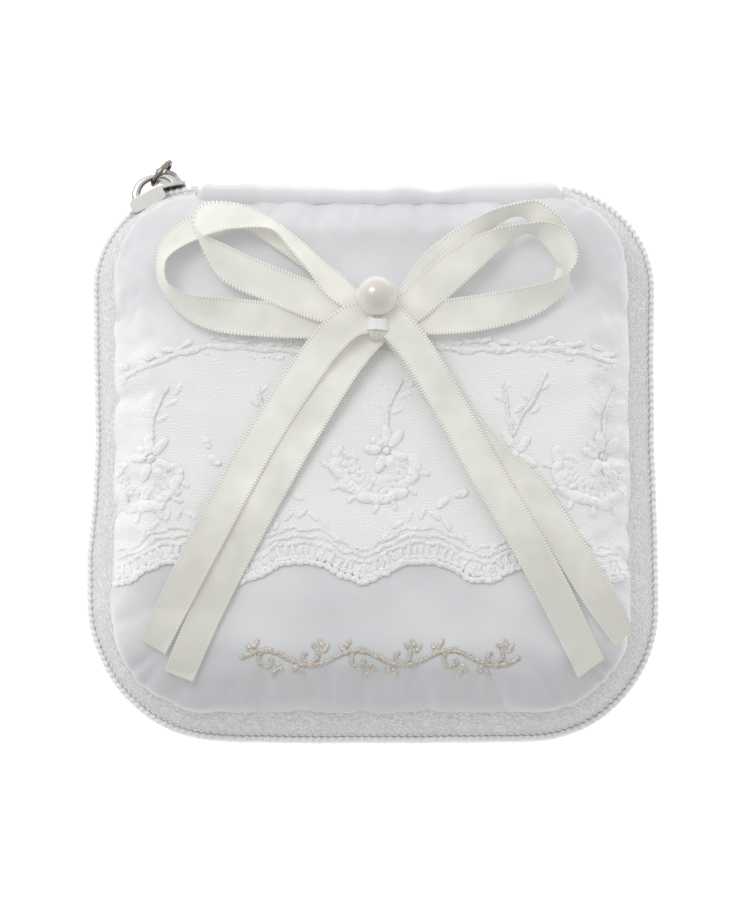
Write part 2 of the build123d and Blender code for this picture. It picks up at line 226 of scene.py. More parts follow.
# --- Materials --------------------------------------------------------------------------------
class Nodes:
    """A short way to lay out a material's nodes. Settings are the shader's sockets."""

    def __init__(self, name, colour, roughness, **settings):
        self.material = bpy.data.materials.new(name)
        self.material.use_nodes = True
        self.tree = self.material.node_tree
        self.shader = self.tree.nodes["Principled BSDF"]
        self.shader.inputs["Base Color"].default_value = (*colour, 1)
        self.shader.inputs["Roughness"].default_value = roughness
        for key, value in settings.items():
            self.shader.inputs[key.replace("_", " ")].default_value = value

    def add(self, kind, links=None, **settings):
        """A node with its links, by input socket, and its settings."""
        node = self.tree.nodes.new(kind)
        for key, value in settings.items():
            if hasattr(node, key):
                setattr(node, key, value)
            else:
                node.inputs[key.replace("_", " ")].default_value = value
        for key, source in (links or {}).items():
            self.tree.links.new(source, node.inputs[key])
        return node

    def math(self, operation, a, b=None):
        """The output of a sum on sockets or numbers."""
        node = self.tree.nodes.new("ShaderNodeMath")
        node.operation = operation
        for slot, value in enumerate((a, b)):
            if isinstance(value, (int, float)):
                node.inputs[slot].default_value = value
            elif value is not None:
                self.tree.links.new(value, node.inputs[slot])
        return node.outputs[0]

    def position(self):
        """Object coordinates in millimetres."""
        source = self.add("ShaderNodeTexCoord")
        scaled = self.add("ShaderNodeVectorMath", {0: source.outputs["Object"]},
                          operation="SCALE")
        scaled.inputs["Scale"].default_value = 1 / MM
        return scaled.outputs[0]

    def noise(self, scale, detail):
        """Soft noise; scale is features per millimetre."""
        node = self.add("ShaderNodeTexNoise", {"Vector": self.position()}, Scale=scale,
                        Detail=detail)
        return node.outputs[0]

    def ramp(self, value, start, stop, low, high, kind="SMOOTHSTEP"):
        """The way from start to stop as a way from low to high, held at both ends."""
        node = self.add("ShaderNodeMapRange", {"Value": value}, interpolation_type=kind)
        for key, number in (("From Min", start), ("From Max", stop), ("To Min", low),
                            ("To Max", high)):
            node.inputs[key].default_value = number
        return node.outputs[0]

    def shine(self, colour, strength):
        """A weak light of the surface's own: on the cloths a painted glow that lifts their shade, on the
        floor an even light table.
        """
        self.shader.inputs["Emission Color"].default_value = (*colour, 1)
        self.shader.inputs["Emission Strength"].default_value = strength

    def along(self):
        """The two coordinates of the cloth's own layer, in millimetres."""
        layer = self.add("ShaderNodeUVMap", uv_map="cloth")
        split = self.add("ShaderNodeSeparateXYZ", {0: layer.outputs[0]})
        return split.outputs[0], split.outputs[1]

    def ribs(self, coordinate, pitch):
        """A wave from -1 to 1 with a pitch in millimetres."""
        return self.math("SINE", self.math("MULTIPLY", coordinate, 2 * math.pi / pitch))

    def tint(self, factor, low, high):
        """Colour the surface from low to high by a factor."""
        mix = self.add("ShaderNodeMix", data_type="RGBA")
        mix.inputs[6].default_value = (*low, 1)
        mix.inputs[7].default_value = (*high, 1)
        self.tree.links.new(factor, mix.inputs[0])
        self.tree.links.new(mix.outputs[2], self.shader.inputs["Base Color"])

    def glow(self, colour, share):
        """Let light through to the other side, as thin cloth does."""
        through = self.add("ShaderNodeBsdfTranslucent")
        through.inputs[0].default_value = (*colour, 1)
        mix = self.add("ShaderNodeMixShader")
        mix.inputs[0].default_value = share
        self.tree.links.new(self.shader.outputs[0], mix.inputs[1])
        self.tree.links.new(through.outputs[0], mix.inputs[2])
        end = self.tree.nodes["Material Output"]
        self.tree.links.new(mix.outputs[0], end.inputs[0])

    def bump(self, height, strength, distance):
        """Raise the surface by a height, after any bump that is already there."""
        node = self.add("ShaderNodeBump", {"Height": height})
        node.inputs["Strength"].default_value = strength
        node.inputs["Distance"].default_value = distance * MM
        old = self.shader.inputs["Normal"]
        if old.is_linked:
            self.tree.links.new(old.links[0].from_socket, node.inputs["Normal"])
        self.tree.links.new(node.outputs[0], old)


def satin_material(name, colour, shade):
    """Duchess satin: a smooth sheen, faint weft lines and soft unevenness, with a painted light round
    the bow that lifts the shade of its loops, a painted shade towards the front edge and a weak painted
    glow."""
    m = Nodes(name, colour, 0.42, Sheen_Weight=0.25, Sheen_Roughness=0.4,
              Specular_IOR_Level=0.35)
    # painted glow: a weak light of the satin's own that lifts its shade
    m.shine((0.97, 0.98, 1.0), 0.10)
    place = m.position()
    y = m.add("ShaderNodeSeparateXYZ", {0: place}).outputs[1]
    from_bow = m.math("ABSOLUTE", m.math("SUBTRACT", y, 13))
    # painted light: paler round the bow, where its loops shade the satin
    paler = m.ramp(from_bow, 30, 6, 0, 0.45)
    # painted shade: darker towards the front edge, which slopes away from the light
    darker = m.ramp(y, -53, -37, 1.1, 0)
    # soft unevenness of tone, which also stands in for painted soft highlights where the puffed satin
    # catches light
    uneven = m.math("ADD", m.math("MULTIPLY", m.noise(0.06, 3.0), 0.8), paler)
    m.tint(m.math("SUBTRACT", uneven, darker), shade, colour)
    thread = m.add("ShaderNodeTexWave", {"Vector": place}, wave_type="BANDS",
                   bands_direction="Y", Scale=1.1, Distortion=0.6, Detail=1.0)
    m.bump(thread.outputs[1], 0.12, 0.04)
    m.bump(m.noise(1.6, 2.0), 0.12, 0.12)
    return m.material


PICOT_PITCH = 0.62      # from bead to bead along a ribbon's edge
RIBBON_HALF = 3.4       # half the ribbon's width in its cloth layer


def ribbon_material():
    """Double-faced satin ribbon: ivory, fine ribs along it and a dotted selvedge, with painted
    shade between its beads, painted highlights on them, painted shade towards the tail ends and a weak
    painted glow.
    """
    m = Nodes("ribbon_satin", (0.92, 0.91, 0.84), 0.36, Sheen_Weight=0.3,
              Sheen_Roughness=0.35, Specular_IOR_Level=0.45)
    # painted glow: a weak light of the ribbon's own that lifts the shade inside the loops
    m.shine((1.0, 0.985, 0.93), 0.12)
    along, across = m.along()
    m.bump(m.ribs(along, 0.36), 0.10, 0.03)
    m.bump(m.ribs(across, 0.42), 0.12, 0.04)
    edge = m.ramp(m.math("ABSOLUTE", across), 2.78, 2.95, 0, 1)
    dots = m.math("ADD", m.math("MULTIPLY", m.ribs(along, PICOT_PITCH), 0.5), 0.5)
    dots = m.math("MULTIPLY", dots, edge)
    # painted shade in the gaps between the selvedge's beads; the raised beads are painted lighter below
    gap = m.math("SUBTRACT", edge, dots)
    m.bump(dots, 0.5, 0.12)
    shade = m.math("SUBTRACT", m.noise(0.12, 2.0), m.math("MULTIPLY", gap, 0.9))
    y = m.add("ShaderNodeSeparateXYZ", {0: m.position()}).outputs[1]
    # painted shade: darker towards the tail ends, which slope away from the light
    shade = m.math("SUBTRACT", shade, m.ramp(y, -8, -48, 0, 0.9, "LINEAR"))
    m.tint(m.math("ADD", shade, m.math("MULTIPLY", dots, 0.5)),
           (0.56, 0.553, 0.505), (0.90, 0.893, 0.845))
    m.glow((0.97, 0.965, 0.90), 0.06)
    return m.material


def tape_material():
    """White zip tape in a herringbone weave."""
    m = Nodes("zip_tape_weave", (0.72, 0.735, 0.735), 0.75, Sheen_Weight=0.2,
              Specular_IOR_Level=0.2)
    along, across = m.along()
    fold = m.math("PINGPONG", across, 1.1)
    ribs = m.ribs(m.math("ADD", along, fold), 0.62)
    m.bump(ribs, 0.6, 0.16)
    m.bump(m.noise(2.4, 2.0), 0.3, 0.12)
    speckle = m.math("ADD", m.math("MULTIPLY", m.noise(1.6, 1.0), 2.4), -0.7)
    weave = m.math("ADD", m.math("MULTIPLY", ribs, 0.4), speckle)
    m.tint(weave, (0.66, 0.67, 0.675), (0.94, 0.945, 0.945))
    return m.material


def coil_material():
    """Spun nylon: off-white and slightly translucent, with a low gloss."""
    m = Nodes("zip_coil_nylon", (0.74, 0.725, 0.70), 0.42, Subsurface_Weight=0.4,
              Specular_IOR_Level=0.5)
    m.shader.inputs["Subsurface Radius"].default_value = (0.0006, 0.0005, 0.0004)
    grain = m.noise(0.7, 3.0)
    m.tint(grain, (0.86, 0.85, 0.835), (0.935, 0.93, 0.92))
    m.bump(grain, 0.15, 0.1)
    return m.material


def thread_material(name, low, high, roughness=0.5, **settings):
    """Embroidery thread: uneven strands, with painted shade in the hollows between them, so lighter where
    they stand up.
    """
    m = Nodes(name, high, roughness, Sheen_Weight=0.2, **settings)
    strands = m.noise(2.2, 3.0)
    m.shader.inputs["Subsurface Radius"].default_value = (0.0008, 0.0008, 0.0008)
    # painted shade: the strands' hollows darker, their raised tops lighter
    m.tint(strands, low, high)
    m.bump(strands, 0.9, 0.35)
    return m.material


def net_material():
    """Fine cotton net over satin: close rows of thread, uneven in weight."""
    m = Nodes("lace_net", (0.78, 0.785, 0.775), 0.75, Sheen_Weight=0.15,
              Specular_IOR_Level=0.2)
    along, across = m.along()
    moved = m.math("MULTIPLY", m.noise(0.35, 1.0), 2.0)
    rows = m.ribs(m.math("ADD", across, moved), 0.56)
    columns = m.ribs(m.math("ADD", along, moved), 0.5)
    height = m.math("MAXIMUM", rows, m.math("MULTIPLY", columns, 0.6))
    height = m.math("MULTIPLY", height, m.noise(0.09, 3.0))
    m.bump(height, 0.45, 0.14)
    m.tint(m.math("ADD", height, 0.35), (0.80, 0.81, 0.805), (0.905, 0.91, 0.905))
    return m.material


def pearl_material():
    """Ivory pearl lacquer under a clear coat, with a painted reflection: darker on top and paler towards its
    underside.
    """
    m = Nodes("pearl_lacquer", (0.80, 0.75, 0.66), 0.3, Coat_Weight=1.0, Coat_Roughness=0.10,
              Subsurface_Weight=0.1, Metallic=0.1, Specular_IOR_Level=0.6)
    m.shader.inputs["Subsurface Radius"].default_value = (0.001, 0.0008, 0.0006)
    level = m.add("ShaderNodeSeparateXYZ", {0: m.position()}).outputs[2]
    # painted reflection: darker on top, as if the pearl mirrored a dark room above, paler towards its
    # underside
    painted_reflection_from_top = m.math("MULTIPLY", m.math("SUBTRACT", PEARL_HIGH[2], level), 0.22)
    m.tint(painted_reflection_from_top, (0.66, 0.62, 0.55), (0.92, 0.91, 0.87))
    return m.material


def metal_material(name, colour, roughness):
    """Nickel plate with faint casting marks, and a painted reflection: darker on its sides than on its top.
    """
    m = Nodes(name, colour, roughness, Metallic=1.0)
    m.bump(m.noise(0.9, 3.0), 0.08, 0.1)
    # painted reflection: sides darker than the top, as if they mirrored a dark room
    facing = m.add("ShaderNodeTexCoord").outputs["Normal"]
    painted_reflection_up = m.ramp(m.add("ShaderNodeSeparateXYZ", {0: facing}).outputs[2], 0.4, 0.97, 0, 1)
    m.tint(painted_reflection_up, tuple(0.55 * part for part in colour), colour)
    return m.material


SATIN = satin_material("cover_satin", (0.75, 0.76, 0.775), (0.47, 0.48, 0.495))
LINING = satin_material("lining_satin", (0.68, 0.68, 0.67), (0.58, 0.58, 0.57))
PILLOW = satin_material("pillow_satin", (0.70, 0.70, 0.685), (0.60, 0.60, 0.58))
RIBBON = ribbon_material()
TAPE = tape_material()
COIL = coil_material()
WHITE_THREAD = thread_material("white_thread", (0.88, 0.88, 0.88), (0.965, 0.965, 0.965), 0.8,
                               Subsurface_Weight=0.3)
GOLD_THREAD = thread_material("champagne_thread", (0.42, 0.38, 0.32), (0.86, 0.82, 0.75),
                              0.35, Metallic=0.5)
NET = net_material()
PEARL = pearl_material()
METAL = metal_material("nickel_plate", (0.66, 0.65, 0.63), 0.2)
# painted reflection: the jump ring's nickel coloured dark, as if it mirrored a dark room
DARK_METAL = metal_material("nickel_wire_dark_reflection", (0.36, 0.31, 0.26), 0.2)
TAB_METAL = metal_material("shaded_nickel", (0.44, 0.42, 0.42), 0.25)
KNOT = thread_material("knot_thread", (0.74, 0.70, 0.61), (0.86, 0.83, 0.75))
TAPE_THREAD = thread_material("tape_thread", (0.91, 0.90, 0.885), (0.965, 0.96, 0.95), 0.6,
                              Subsurface_Weight=0.3)


# --- Padded covers ----------------------------------------------------------------------------
def cover_grid(count):
    """Points of a square grid bent to the cover's outline, and how near each is to the edge."""
    u, v = np.meshgrid(np.linspace(-1, 1, count), np.linspace(-1, 1, count))
    hw, half = COVER.half_width, (COVER.top - COVER.bottom) / 2
    x, y = u.ravel() * hw, v.ravel() * half
    radius = np.where(y > 0, COVER.top_radius, COVER.bottom_radius)
    angle = np.arctan2(np.abs(y), np.abs(x) + 1e-9)
    square = np.minimum(hw / np.maximum(np.cos(angle), 1e-9),
                        half / np.maximum(np.sin(angle), 1e-9))
    cx, cy = hw - radius, half - radius
    along = cx * np.cos(angle) + cy * np.sin(angle)
    rounded = along + np.sqrt(np.maximum(along**2 - cx**2 - cy**2 + radius**2, 0))
    at_corner = (rounded * np.cos(angle) > cx) & (rounded * np.sin(angle) > cy)
    rounded = np.where(at_corner, rounded, square)
    near = np.maximum(np.abs(u.ravel()), np.abs(v.ravel()))
    pull = 1 + (rounded / square - 1) * smooth((near - 0.35) / 0.65)
    return x * pull, y * pull, near


def puff(points, faces, pinned, pressure, growth, frames):
    """Blow a sheet up like a pillow and return the new points. The sheet is worked on at ten
    times its size, because Blender's cloth is made for larger things."""
    scale = 10 * MM
    mesh = bpy.data.meshes.new("puff")
    mesh.from_pydata((points * scale).tolist(), [], faces)
    thing = bpy.data.objects.new("puff", mesh)
    bpy.context.scene.collection.objects.link(thing)
    group = thing.vertex_groups.new(name="pin")
    group.add([int(i) for i in np.nonzero(pinned)[0]], 1.0, "REPLACE")
    cloth = thing.modifiers.new("cloth", "CLOTH")
    settings = cloth.settings
    settings.quality = 5
    settings.mass = 0.3
    settings.tension_stiffness = 15
    settings.compression_stiffness = 15
    settings.shear_stiffness = 5
    settings.bending_stiffness = 0.15
    settings.air_damping = 4
    settings.vertex_group_mass = "pin"
    settings.use_pressure = True
    settings.uniform_pressure_force = pressure
    settings.shrink_min = -growth
    settings.effector_weights.gravity = 0
    cloth.point_cache.frame_start = 1
    cloth.point_cache.frame_end = frames
    for step in range(1, frames + 1):
        bpy.context.scene.frame_set(step)
    done = thing.evaluated_get(bpy.context.evaluated_depsgraph_get()).to_mesh()
    result = np.array([v.co for v in done.vertices]) / scale
    bpy.data.objects.remove(thing)
    bpy.context.scene.frame_set(1)
    return result


def pucker_field(u, v, near, seed):
    """How far the seam's gathers sink the satin and draw it in: one small crease at every
    uneven stitch, fading towards the middle, and broad soft pulls between them."""
    rnd = random.Random(seed)
    half = COVER.half_width
    safe = np.maximum(near, 1e-6)
    flat = np.abs(u) >= np.abs(v)
    place = np.where(flat, v / safe, u / safe) * half
    side = np.where(flat, np.where(u > 0, 0, 1), np.where(v > 0, 2, 3))
    place = place + side * 4 * half
    distance = (1 - near) * half
    sink, draw = np.zeros(len(u)), np.zeros(len(u))
    for k in range(4):
        at = -half + rnd.uniform(2, 6)
        while at < half:
            gap = place - (at + k * 4 * half) - rnd.uniform(-0.4, 0.4) * distance
            width, reach = rnd.uniform(0.9, 1.8), rnd.uniform(3.0, 9.0)
            depth = rnd.uniform(0.45, 1.3)
            shape = np.exp(-(gap / (width * (1 + 0.10 * distance))) ** 2)
            sink += depth * shape * np.exp(-distance / reach) * (1 - np.exp(-distance / 0.7))
            draw += 0.6 * depth * shape * np.exp(-distance / 2.5)
            at += rnd.uniform(6.5, 15)
    sink *= 1 + 0.4 * smooth((-v - 0.4) / 0.3) - 0.7 * smooth((v - 0.8) / 0.15)
    sway = 0.55 * smooth((0.95 - v) / 0.2) * wave(place / 9, seed, 2) * np.exp(-distance / 3.0)
    return sink, draw - sway


SWELL = 2.0             # the most that a cover's satin is blown outwards


def padded_cover(name, side, body, count=COVER_COUNT):
    """The front (side 1) or back (side -1) cover: a padded dome that leaves its seam steeply
    and is drawn into puckers there."""
    x, y, near = cover_grid(count)
    u, v = (a.ravel() for a in np.meshgrid(np.linspace(-1, 1, count), np.linspace(-1, 1, count)))
    height = FRONT_HIGH[2] - FRONT_LOW[2]
    rise = (1 - near**9) ** 0.5 * 0.93
    points = np.column_stack([x, y, (rise + 0.05 * (1 - near**2)) * height])
    rim = near > 0.999
    faces = grid_faces(count, count)
    blown = puff(points, faces, rim, 3.0, 0.035, 22)
    move = blown - points
    size = np.linalg.norm(move, axis=1)
    points = points + move * (SWELL * np.tanh(size / SWELL) / np.maximum(size, 1e-9))[:, None]
    over = points[:, 2] - height + 0.6
    points[:, 2] -= np.where(over > 0, over - 0.6 * np.tanh(over / 0.6) * 0.9, 0)
    sink, draw = pucker_field(u, v, near, 31 + side)
    soft = rough(x / 11, y / 11, 3.0 * side)
    points[:, 2] += 0.85 * soft * smooth((1 - near) / 0.08) * (0.4 + 0.6 * near)
    points[:, 2] = np.maximum(points[:, 2] - sink, 0)
    distance = (1 - near) * COVER.half_width
    belly = 1.25 * smooth((-y - 36) / 12) * np.exp(-((distance - 1.6) / 2.2) ** 2)
    outward = belly * (side > 0) - draw
    centre = np.hypot(x, y) + 1e-6
    points[:, 0] += outward * x / centre
    points[:, 1] += outward * y / centre
    if side < 0:
        points[:, 2] = height - np.maximum(height - 0.05 - points[:, 2], 0.0)
        level = BACK_HIGH[2] - points[:, 2]
    else:
        level = FRONT_LOW[2] + points[:, 2]
    outside = np.column_stack([points[:, :2], level])
    thing = piece(name, outside, faces if side > 0 else [f[::-1] for f in faces], None,
                  SATIN)
    thicken(thing, 0.6)
    refine(thing)
    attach(thing, body)
    return thing, outside


front_cover, front_surface = padded_cover("front_cover_satin", 1, "lid")
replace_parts(front_cover, "front_cover", "front_foam", "front_board")
back_cover, _ = padded_cover("back_cover_satin", -1, "base")
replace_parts(back_cover, "back_cover", "back_foam", "back_board")


# --- Zip tapes and coils ------------------------------------------------------------------------
def zip_tape(name, side, body, stations=900):
    """One half's tape: from under the cover's seam it slopes out to its fold, and from there its
    edge stands behind the coil."""
    share = np.linspace(0, 1, stations)
    along = share * WAY_LENGTH
    cover, cover_normal = way(COVER, share, WAY_END - 0.3)
    coil, coil_normal = zip_way(share)
    seam = ZIP_LEVEL + side * (FRONT_LOW[2] - ZIP_LEVEL)
    bend = ZIP_LEVEL + side * TAPE_UPRIGHT
    edge = ZIP_LEVEL + side * 0.4
    ripple = 0.25 * wave(along / 9, 3 + side)
    outer = coil - COIL_DEPTH * coil_normal
    profile = [(t, 0) for t in np.linspace(0, 1, 9)] + [(1, t) for t in np.linspace(0.2, 1, 5)]
    rows = []
    for slope, upright in profile:
        flat = cover + (outer - cover) * slope - 1.6 * cover_normal * (1 - slope)
        if slope < 1:
            flat = flat + cover_normal * ((0.7 + ripple) * math.sin(math.pi * slope))[:, None]
        else:
            flat = flat + coil_normal * 0.6 * math.sin(math.pi * upright)
        level = seam + side * 0.6 * (1 - slope) + (bend - seam) * slope
        level = level + (edge - bend) * upright
        rows.append(np.column_stack([flat, np.full(stations, level)]))
    front = np.array(rows)
    inward = np.zeros_like(front)
    inward[:, :, :2] = -coil_normal[None] * 0.5
    both = np.concatenate([front, (front + inward)[::-1]])
    faces = grid_faces(len(both), stations, close_rows=True)
    count = len(both)
    faces += [tuple(r * stations for r in range(count)),
              tuple(r * stations + stations - 1 for r in reversed(range(count)))]
    if side < 0:
        faces = [f[::-1] for f in faces]
    steps = np.linalg.norm(np.diff(both[:, stations // 2], axis=0), axis=1)
    across = np.concatenate([[0], np.cumsum(steps)])
    thing = piece(name, both.reshape(-1, 3), faces, body, TAPE)
    set_uv(thing, [(a, b) for b in across for a in along])
    return thing


COIL_IN, COIL_UP = 0.78, 1.2        # the coil's middle, from the zip's outline and its level
COIL_WIRE = 0.5


def zip_coil(name, side, body, turns=236, steps=12, sides=8):
    """One half's coil: a nylon filament wound in tall turns round a core, half a turn from its
    partner."""
    total = turns * steps + 1
    share = np.linspace(0.006, 0.994, total)
    line, normal = zip_way(share)
    phase = np.linspace(0, 2 * math.pi * turns, total) + (math.pi if side > 0 else 0)
    radial = -COIL_IN + 0.3 * np.cos(phase)
    level = ZIP_LEVEL + side * COIL_UP + np.sin(phase)
    centre = np.column_stack([line + normal * radial[:, None], level])
    tangent = unit(np.gradient(centre, axis=0))
    middle = np.column_stack([line - normal * COIL_IN, np.full(total, ZIP_LEVEL + side * COIL_UP)])
    out = centre - middle
    out = unit(out - tangent * np.sum(out * tangent, axis=1)[:, None])
    other = np.cross(tangent, out)
    turn = np.linspace(0, 2 * math.pi, sides, endpoint=False)
    ring = centre[:, None] + COIL_WIRE * (np.cos(turn)[None, :, None] * out[:, None]
                                          + np.sin(turn)[None, :, None] * other[:, None])
    faces = grid_faces(total, sides, close_columns=True) + end_caps(total, sides)
    points = ring.reshape(-1, 3)
    every = slice(0, total, 6)
    cord, base = middle[every], len(points)
    across = np.zeros((len(cord), 3))
    across[:, :2] = normal[every]
    core = np.array([cord + 0.68 * (math.cos(a) * across + math.sin(a) * np.array([0, 0, 1.6]))
                     for a in turn]).transpose(1, 0, 2).reshape(-1, 3)
    faces += grid_faces(len(cord), sides, close_columns=True, offset=base)
    return piece(name, np.vstack([points, core]), faces, body, COIL)


def coil_stitches(name, side, body, count=236):
    """The sewing thread that holds a coil to its tape: one short stitch to each turn."""
    share = (np.arange(count) + 0.5) / count * 0.988 + 0.006
    line, normal = zip_way(share)
    points, faces = [], []
    for k in range(count):
        n = np.array([*normal[k], 0])
        t = np.array([-normal[k][1], normal[k][0], 0])
        middle = np.array([*(line[k] - normal[k] * (COIL_DEPTH - 0.2)),
                           ZIP_LEVEL + side * 2.42])
        for a in np.linspace(-1, 1, 5):
            radius = 0.5 * math.sqrt(max(0.04, 1 - a * a * 0.9))
            centre = middle + t * a * 0.62
            for b in np.linspace(0, 2 * math.pi, 6, endpoint=False):
                points.append(centre + radius * (math.cos(b) * n
                                                 + math.sin(b) * np.array([0, 0, 1.0])))
        base = k * 30
        faces += grid_faces(5, 6, close_columns=True, offset=base) + end_caps(5, 6, base)
    return piece(name, points, faces, body, TAPE_THREAD)


for side, half, body in ((-1, "back", "base"), (1, "front", "lid")):
    tape = zip_tape(f"{half}_tape_woven", side, body)
    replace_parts(tape, f"{half}_zip_tape")
    coil = zip_coil(f"{half}_coil_wound", side, body)
    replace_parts(coil, f"{half}_coil")
    coil_stitches(f"{half}_coil_stitches", side, body)


# --- The front's surface, for everything that lies on it -----------------------------------------
GROUND_STEP = 0.5
GROUND_REACH = 60       # half the side of the square that the height map covers


def height_map(points, faces):
    """Heights of a surface on an even grid, read from straight above."""
    tree = BVHTree.FromPolygons([tuple(p) for p in points], faces)
    xs = np.arange(-GROUND_REACH, GROUND_REACH + GROUND_STEP, GROUND_STEP)
    table = np.full((len(xs), len(xs)), FRONT_LOW[2])
    for i, x in enumerate(xs):
        for j, y in enumerate(xs):
            hit = tree.ray_cast((x, y, 2 * FRONT_HIGH[2]), (0, 0, -1))[0]
            if hit is not None:
                table[i, j] = hit.z
    return table


HEIGHTS = height_map(front_surface, grid_faces(COVER_COUNT, COVER_COUNT))


def ground(x, y):
    """The height of the front cover at x, y."""
    fx, fy = (np.clip((np.asarray(place, float) + GROUND_REACH) / GROUND_STEP, 0,
                      len(HEIGHTS) - 1.01) for place in (x, y))
    i, j = fx.astype(int), fy.astype(int)
    a, b = fx - i, fy - j
    return (HEIGHTS[i, j] * (1 - a) * (1 - b) + HEIGHTS[i + 1, j] * a * (1 - b)
            + HEIGHTS[i, j + 1] * (1 - a) * b + HEIGHTS[i + 1, j + 1] * a * b)


def curve_through(stations, spacing):
    """An even run of rows along a smooth curve through the stations. A row holds one or two
    points; the spacing is measured along their middle."""
    p = np.array(stations, float)
    p = np.vstack([2 * p[0] - p[1], p, 2 * p[-1] - p[-2]])
    rows = []
    for k in range(1, len(p) - 2):
        t = np.linspace(0, 1, 24, endpoint=k == len(p) - 3)[:, None]
        a, b, c, d = p[k - 1], p[k], p[k + 1], p[k + 2]
        rows.append(0.5 * (2 * b + (c - a) * t + (2 * a - 5 * b + 4 * c - d) * t**2
                           + (3 * b - a - 3 * c + d) * t**3))
    fine = np.vstack(rows)
    middle = fine.reshape(len(fine), -1, len(fine[0]) // (2 if len(fine[0]) == 6 else 1)).mean(1)
    length = np.concatenate([[0], np.cumsum(np.linalg.norm(np.diff(middle, axis=0), axis=1))])
    count = max(2, int(round(length[-1] / spacing)) + 1)
    even = np.linspace(0, length[-1], count)
    return np.column_stack([np.interp(even, length, fine[:, c]) for c in range(fine.shape[1])]), even


# --- Ribbons --------------------------------------------------------------------------------
RIBBON_THICKNESS = 0.22


def ribbon(name, stations, body="lid", camber=0.25, clearance=0.0, seed=0):
    """A satin ribbon through pairs of edge points, with a beaded selvedge on both sides.
    clearance keeps it that far above the front cover."""
    rows, along = curve_through(stations, PICOT_PITCH / 4)
    left, right = rows[:, :3], rows[:, 3:]
    across = np.array([-1, -0.93, -0.85, -0.45, 0, 0.45, 0.85, 0.93, 1])
    columns = len(across)
    surface = np.array([left * (1 - v) / 2 + right * (1 + v) / 2 for v in across])
    if clearance:
        lift = ground(surface[..., 0], surface[..., 1]) + clearance
        surface[..., 2] = np.maximum(surface[..., 2], lift)
    tangent = np.gradient(surface, axis=1)
    width = np.gradient(surface, across, axis=0)
    normal = unit(np.cross(width, tangent))
    side = unit(right - left)
    ripple = camber * (1 + 0.3 * wave(along / 7, seed + 1))[None] * (1 - across**2)[:, None]
    surface = surface + normal * ripple[..., None]
    bead = np.clip(np.sin(2 * math.pi * along / PICOT_PITCH), 0, 1) ** 0.7
    thick = np.full((columns, len(along)), RIBBON_THICKNESS / 2)
    for edge in (0, 1, columns - 2, columns - 1):
        outer = edge in (0, columns - 1)
        thick[edge] += (0.09 if outer else 0.05) * bead
    surface[0] -= side * (0.03 * bead)[:, None]
    surface[-1] += side * (0.03 * bead)[:, None]
    upper = surface + normal * thick[..., None]
    lower = surface - normal * thick[..., None]
    rim_left = surface[:1] - side[None] * (0.06 + 0.05 * bead)[None, :, None]
    rim_right = surface[-1:] + side[None] * (0.06 + 0.05 * bead)[None, :, None]
    loop = np.concatenate([upper, rim_right, lower[::-1], rim_left])
    count, total = len(loop), len(along)
    points = loop.transpose(1, 0, 2).reshape(-1, 3)
    faces = grid_faces(total, count, close_columns=True) + end_caps(total, count)
    thing = piece(name, points, faces, body, RIBBON)
    place = np.concatenate([across, [1.04], across[::-1], [-1.04]]) * RIBBON_HALF
    set_uv(thing, [(a, v) for a in along for v in place])
    return thing


LEFT_UPPER_LOOP = [
    (1, 26.5, 40, 0.5, 22.5, 39), (-3.5, 27.5, 41, -4, 23.5, 40), (-11.1, 32.3, 42, -9.3, 24.2, 40.5),
    (-15.4, 33.9, 42.5, -14.5, 25.8, 40.8), (-24.2, 37.5, 43, -22, 29, 40.5),
    (-30, 40.2, 43.5, -30.5, 33.2, 40.6), (-33.4, 41.5, 44.5, -34.9, 40.9, 40),
    (-33.4, 41.8, 44.3, -36.1, 45.8, 39.5), (-31, 42.6, 43.8, -33.6, 49.4, 39),
    (-27.5, 43.4, 43, -26.1, 48.9, 39), (-20.4, 43.2, 43.5, -20, 45.8, 38.5),
    (-16.5, 39, 44, -14.1, 41.3, 38.5), (-12.5, 34.2, 44, -9.6, 36.9, 39.5),
    (-9.5, 30, 43, -6.4, 34.6, 40), (-5, 27, 41.5, -3.2, 31.5, 40.5),
    (-1, 26, 40.5, 0, 30, 39.5)]
LEFT_LOWER_LOOP = [
    (1, 26.5, 39, 0.5, 22.5, 38.4), (-4, 27, 39.6, -4.5, 22, 38.8), (-12, 28.2, 40.2, -11.8, 21.3, 39),
    (-21.8, 28.7, 40.6, -23, 21.7, 39), (-29.5, 29.3, 41.2, -32.2, 22.9, 38.6),
    (-37, 29.9, 42.2, -38.5, 26.2, 38), (-41.2, 32.2, 43.2, -42.9, 31.9, 37.4),
    (-41.7, 36.4, 43, -43.8, 37.3, 37.4), (-39.5, 39.1, 42, -42.5, 41.8, 37.6),
    (-35, 41.6, 40.5, -39.5, 45, 37.6), (-31.5, 42.3, 38.5, -34.5, 47.4, 37.4),
    (-26, 43.9, 37.6, -24.5, 48, 36.9), (-18, 39, 37.6, -14.5, 41.6, 37),
    (-10, 33, 38, -8.5, 36.5, 37.4), (-4.5, 28, 38.4, -3.2, 31, 38)]
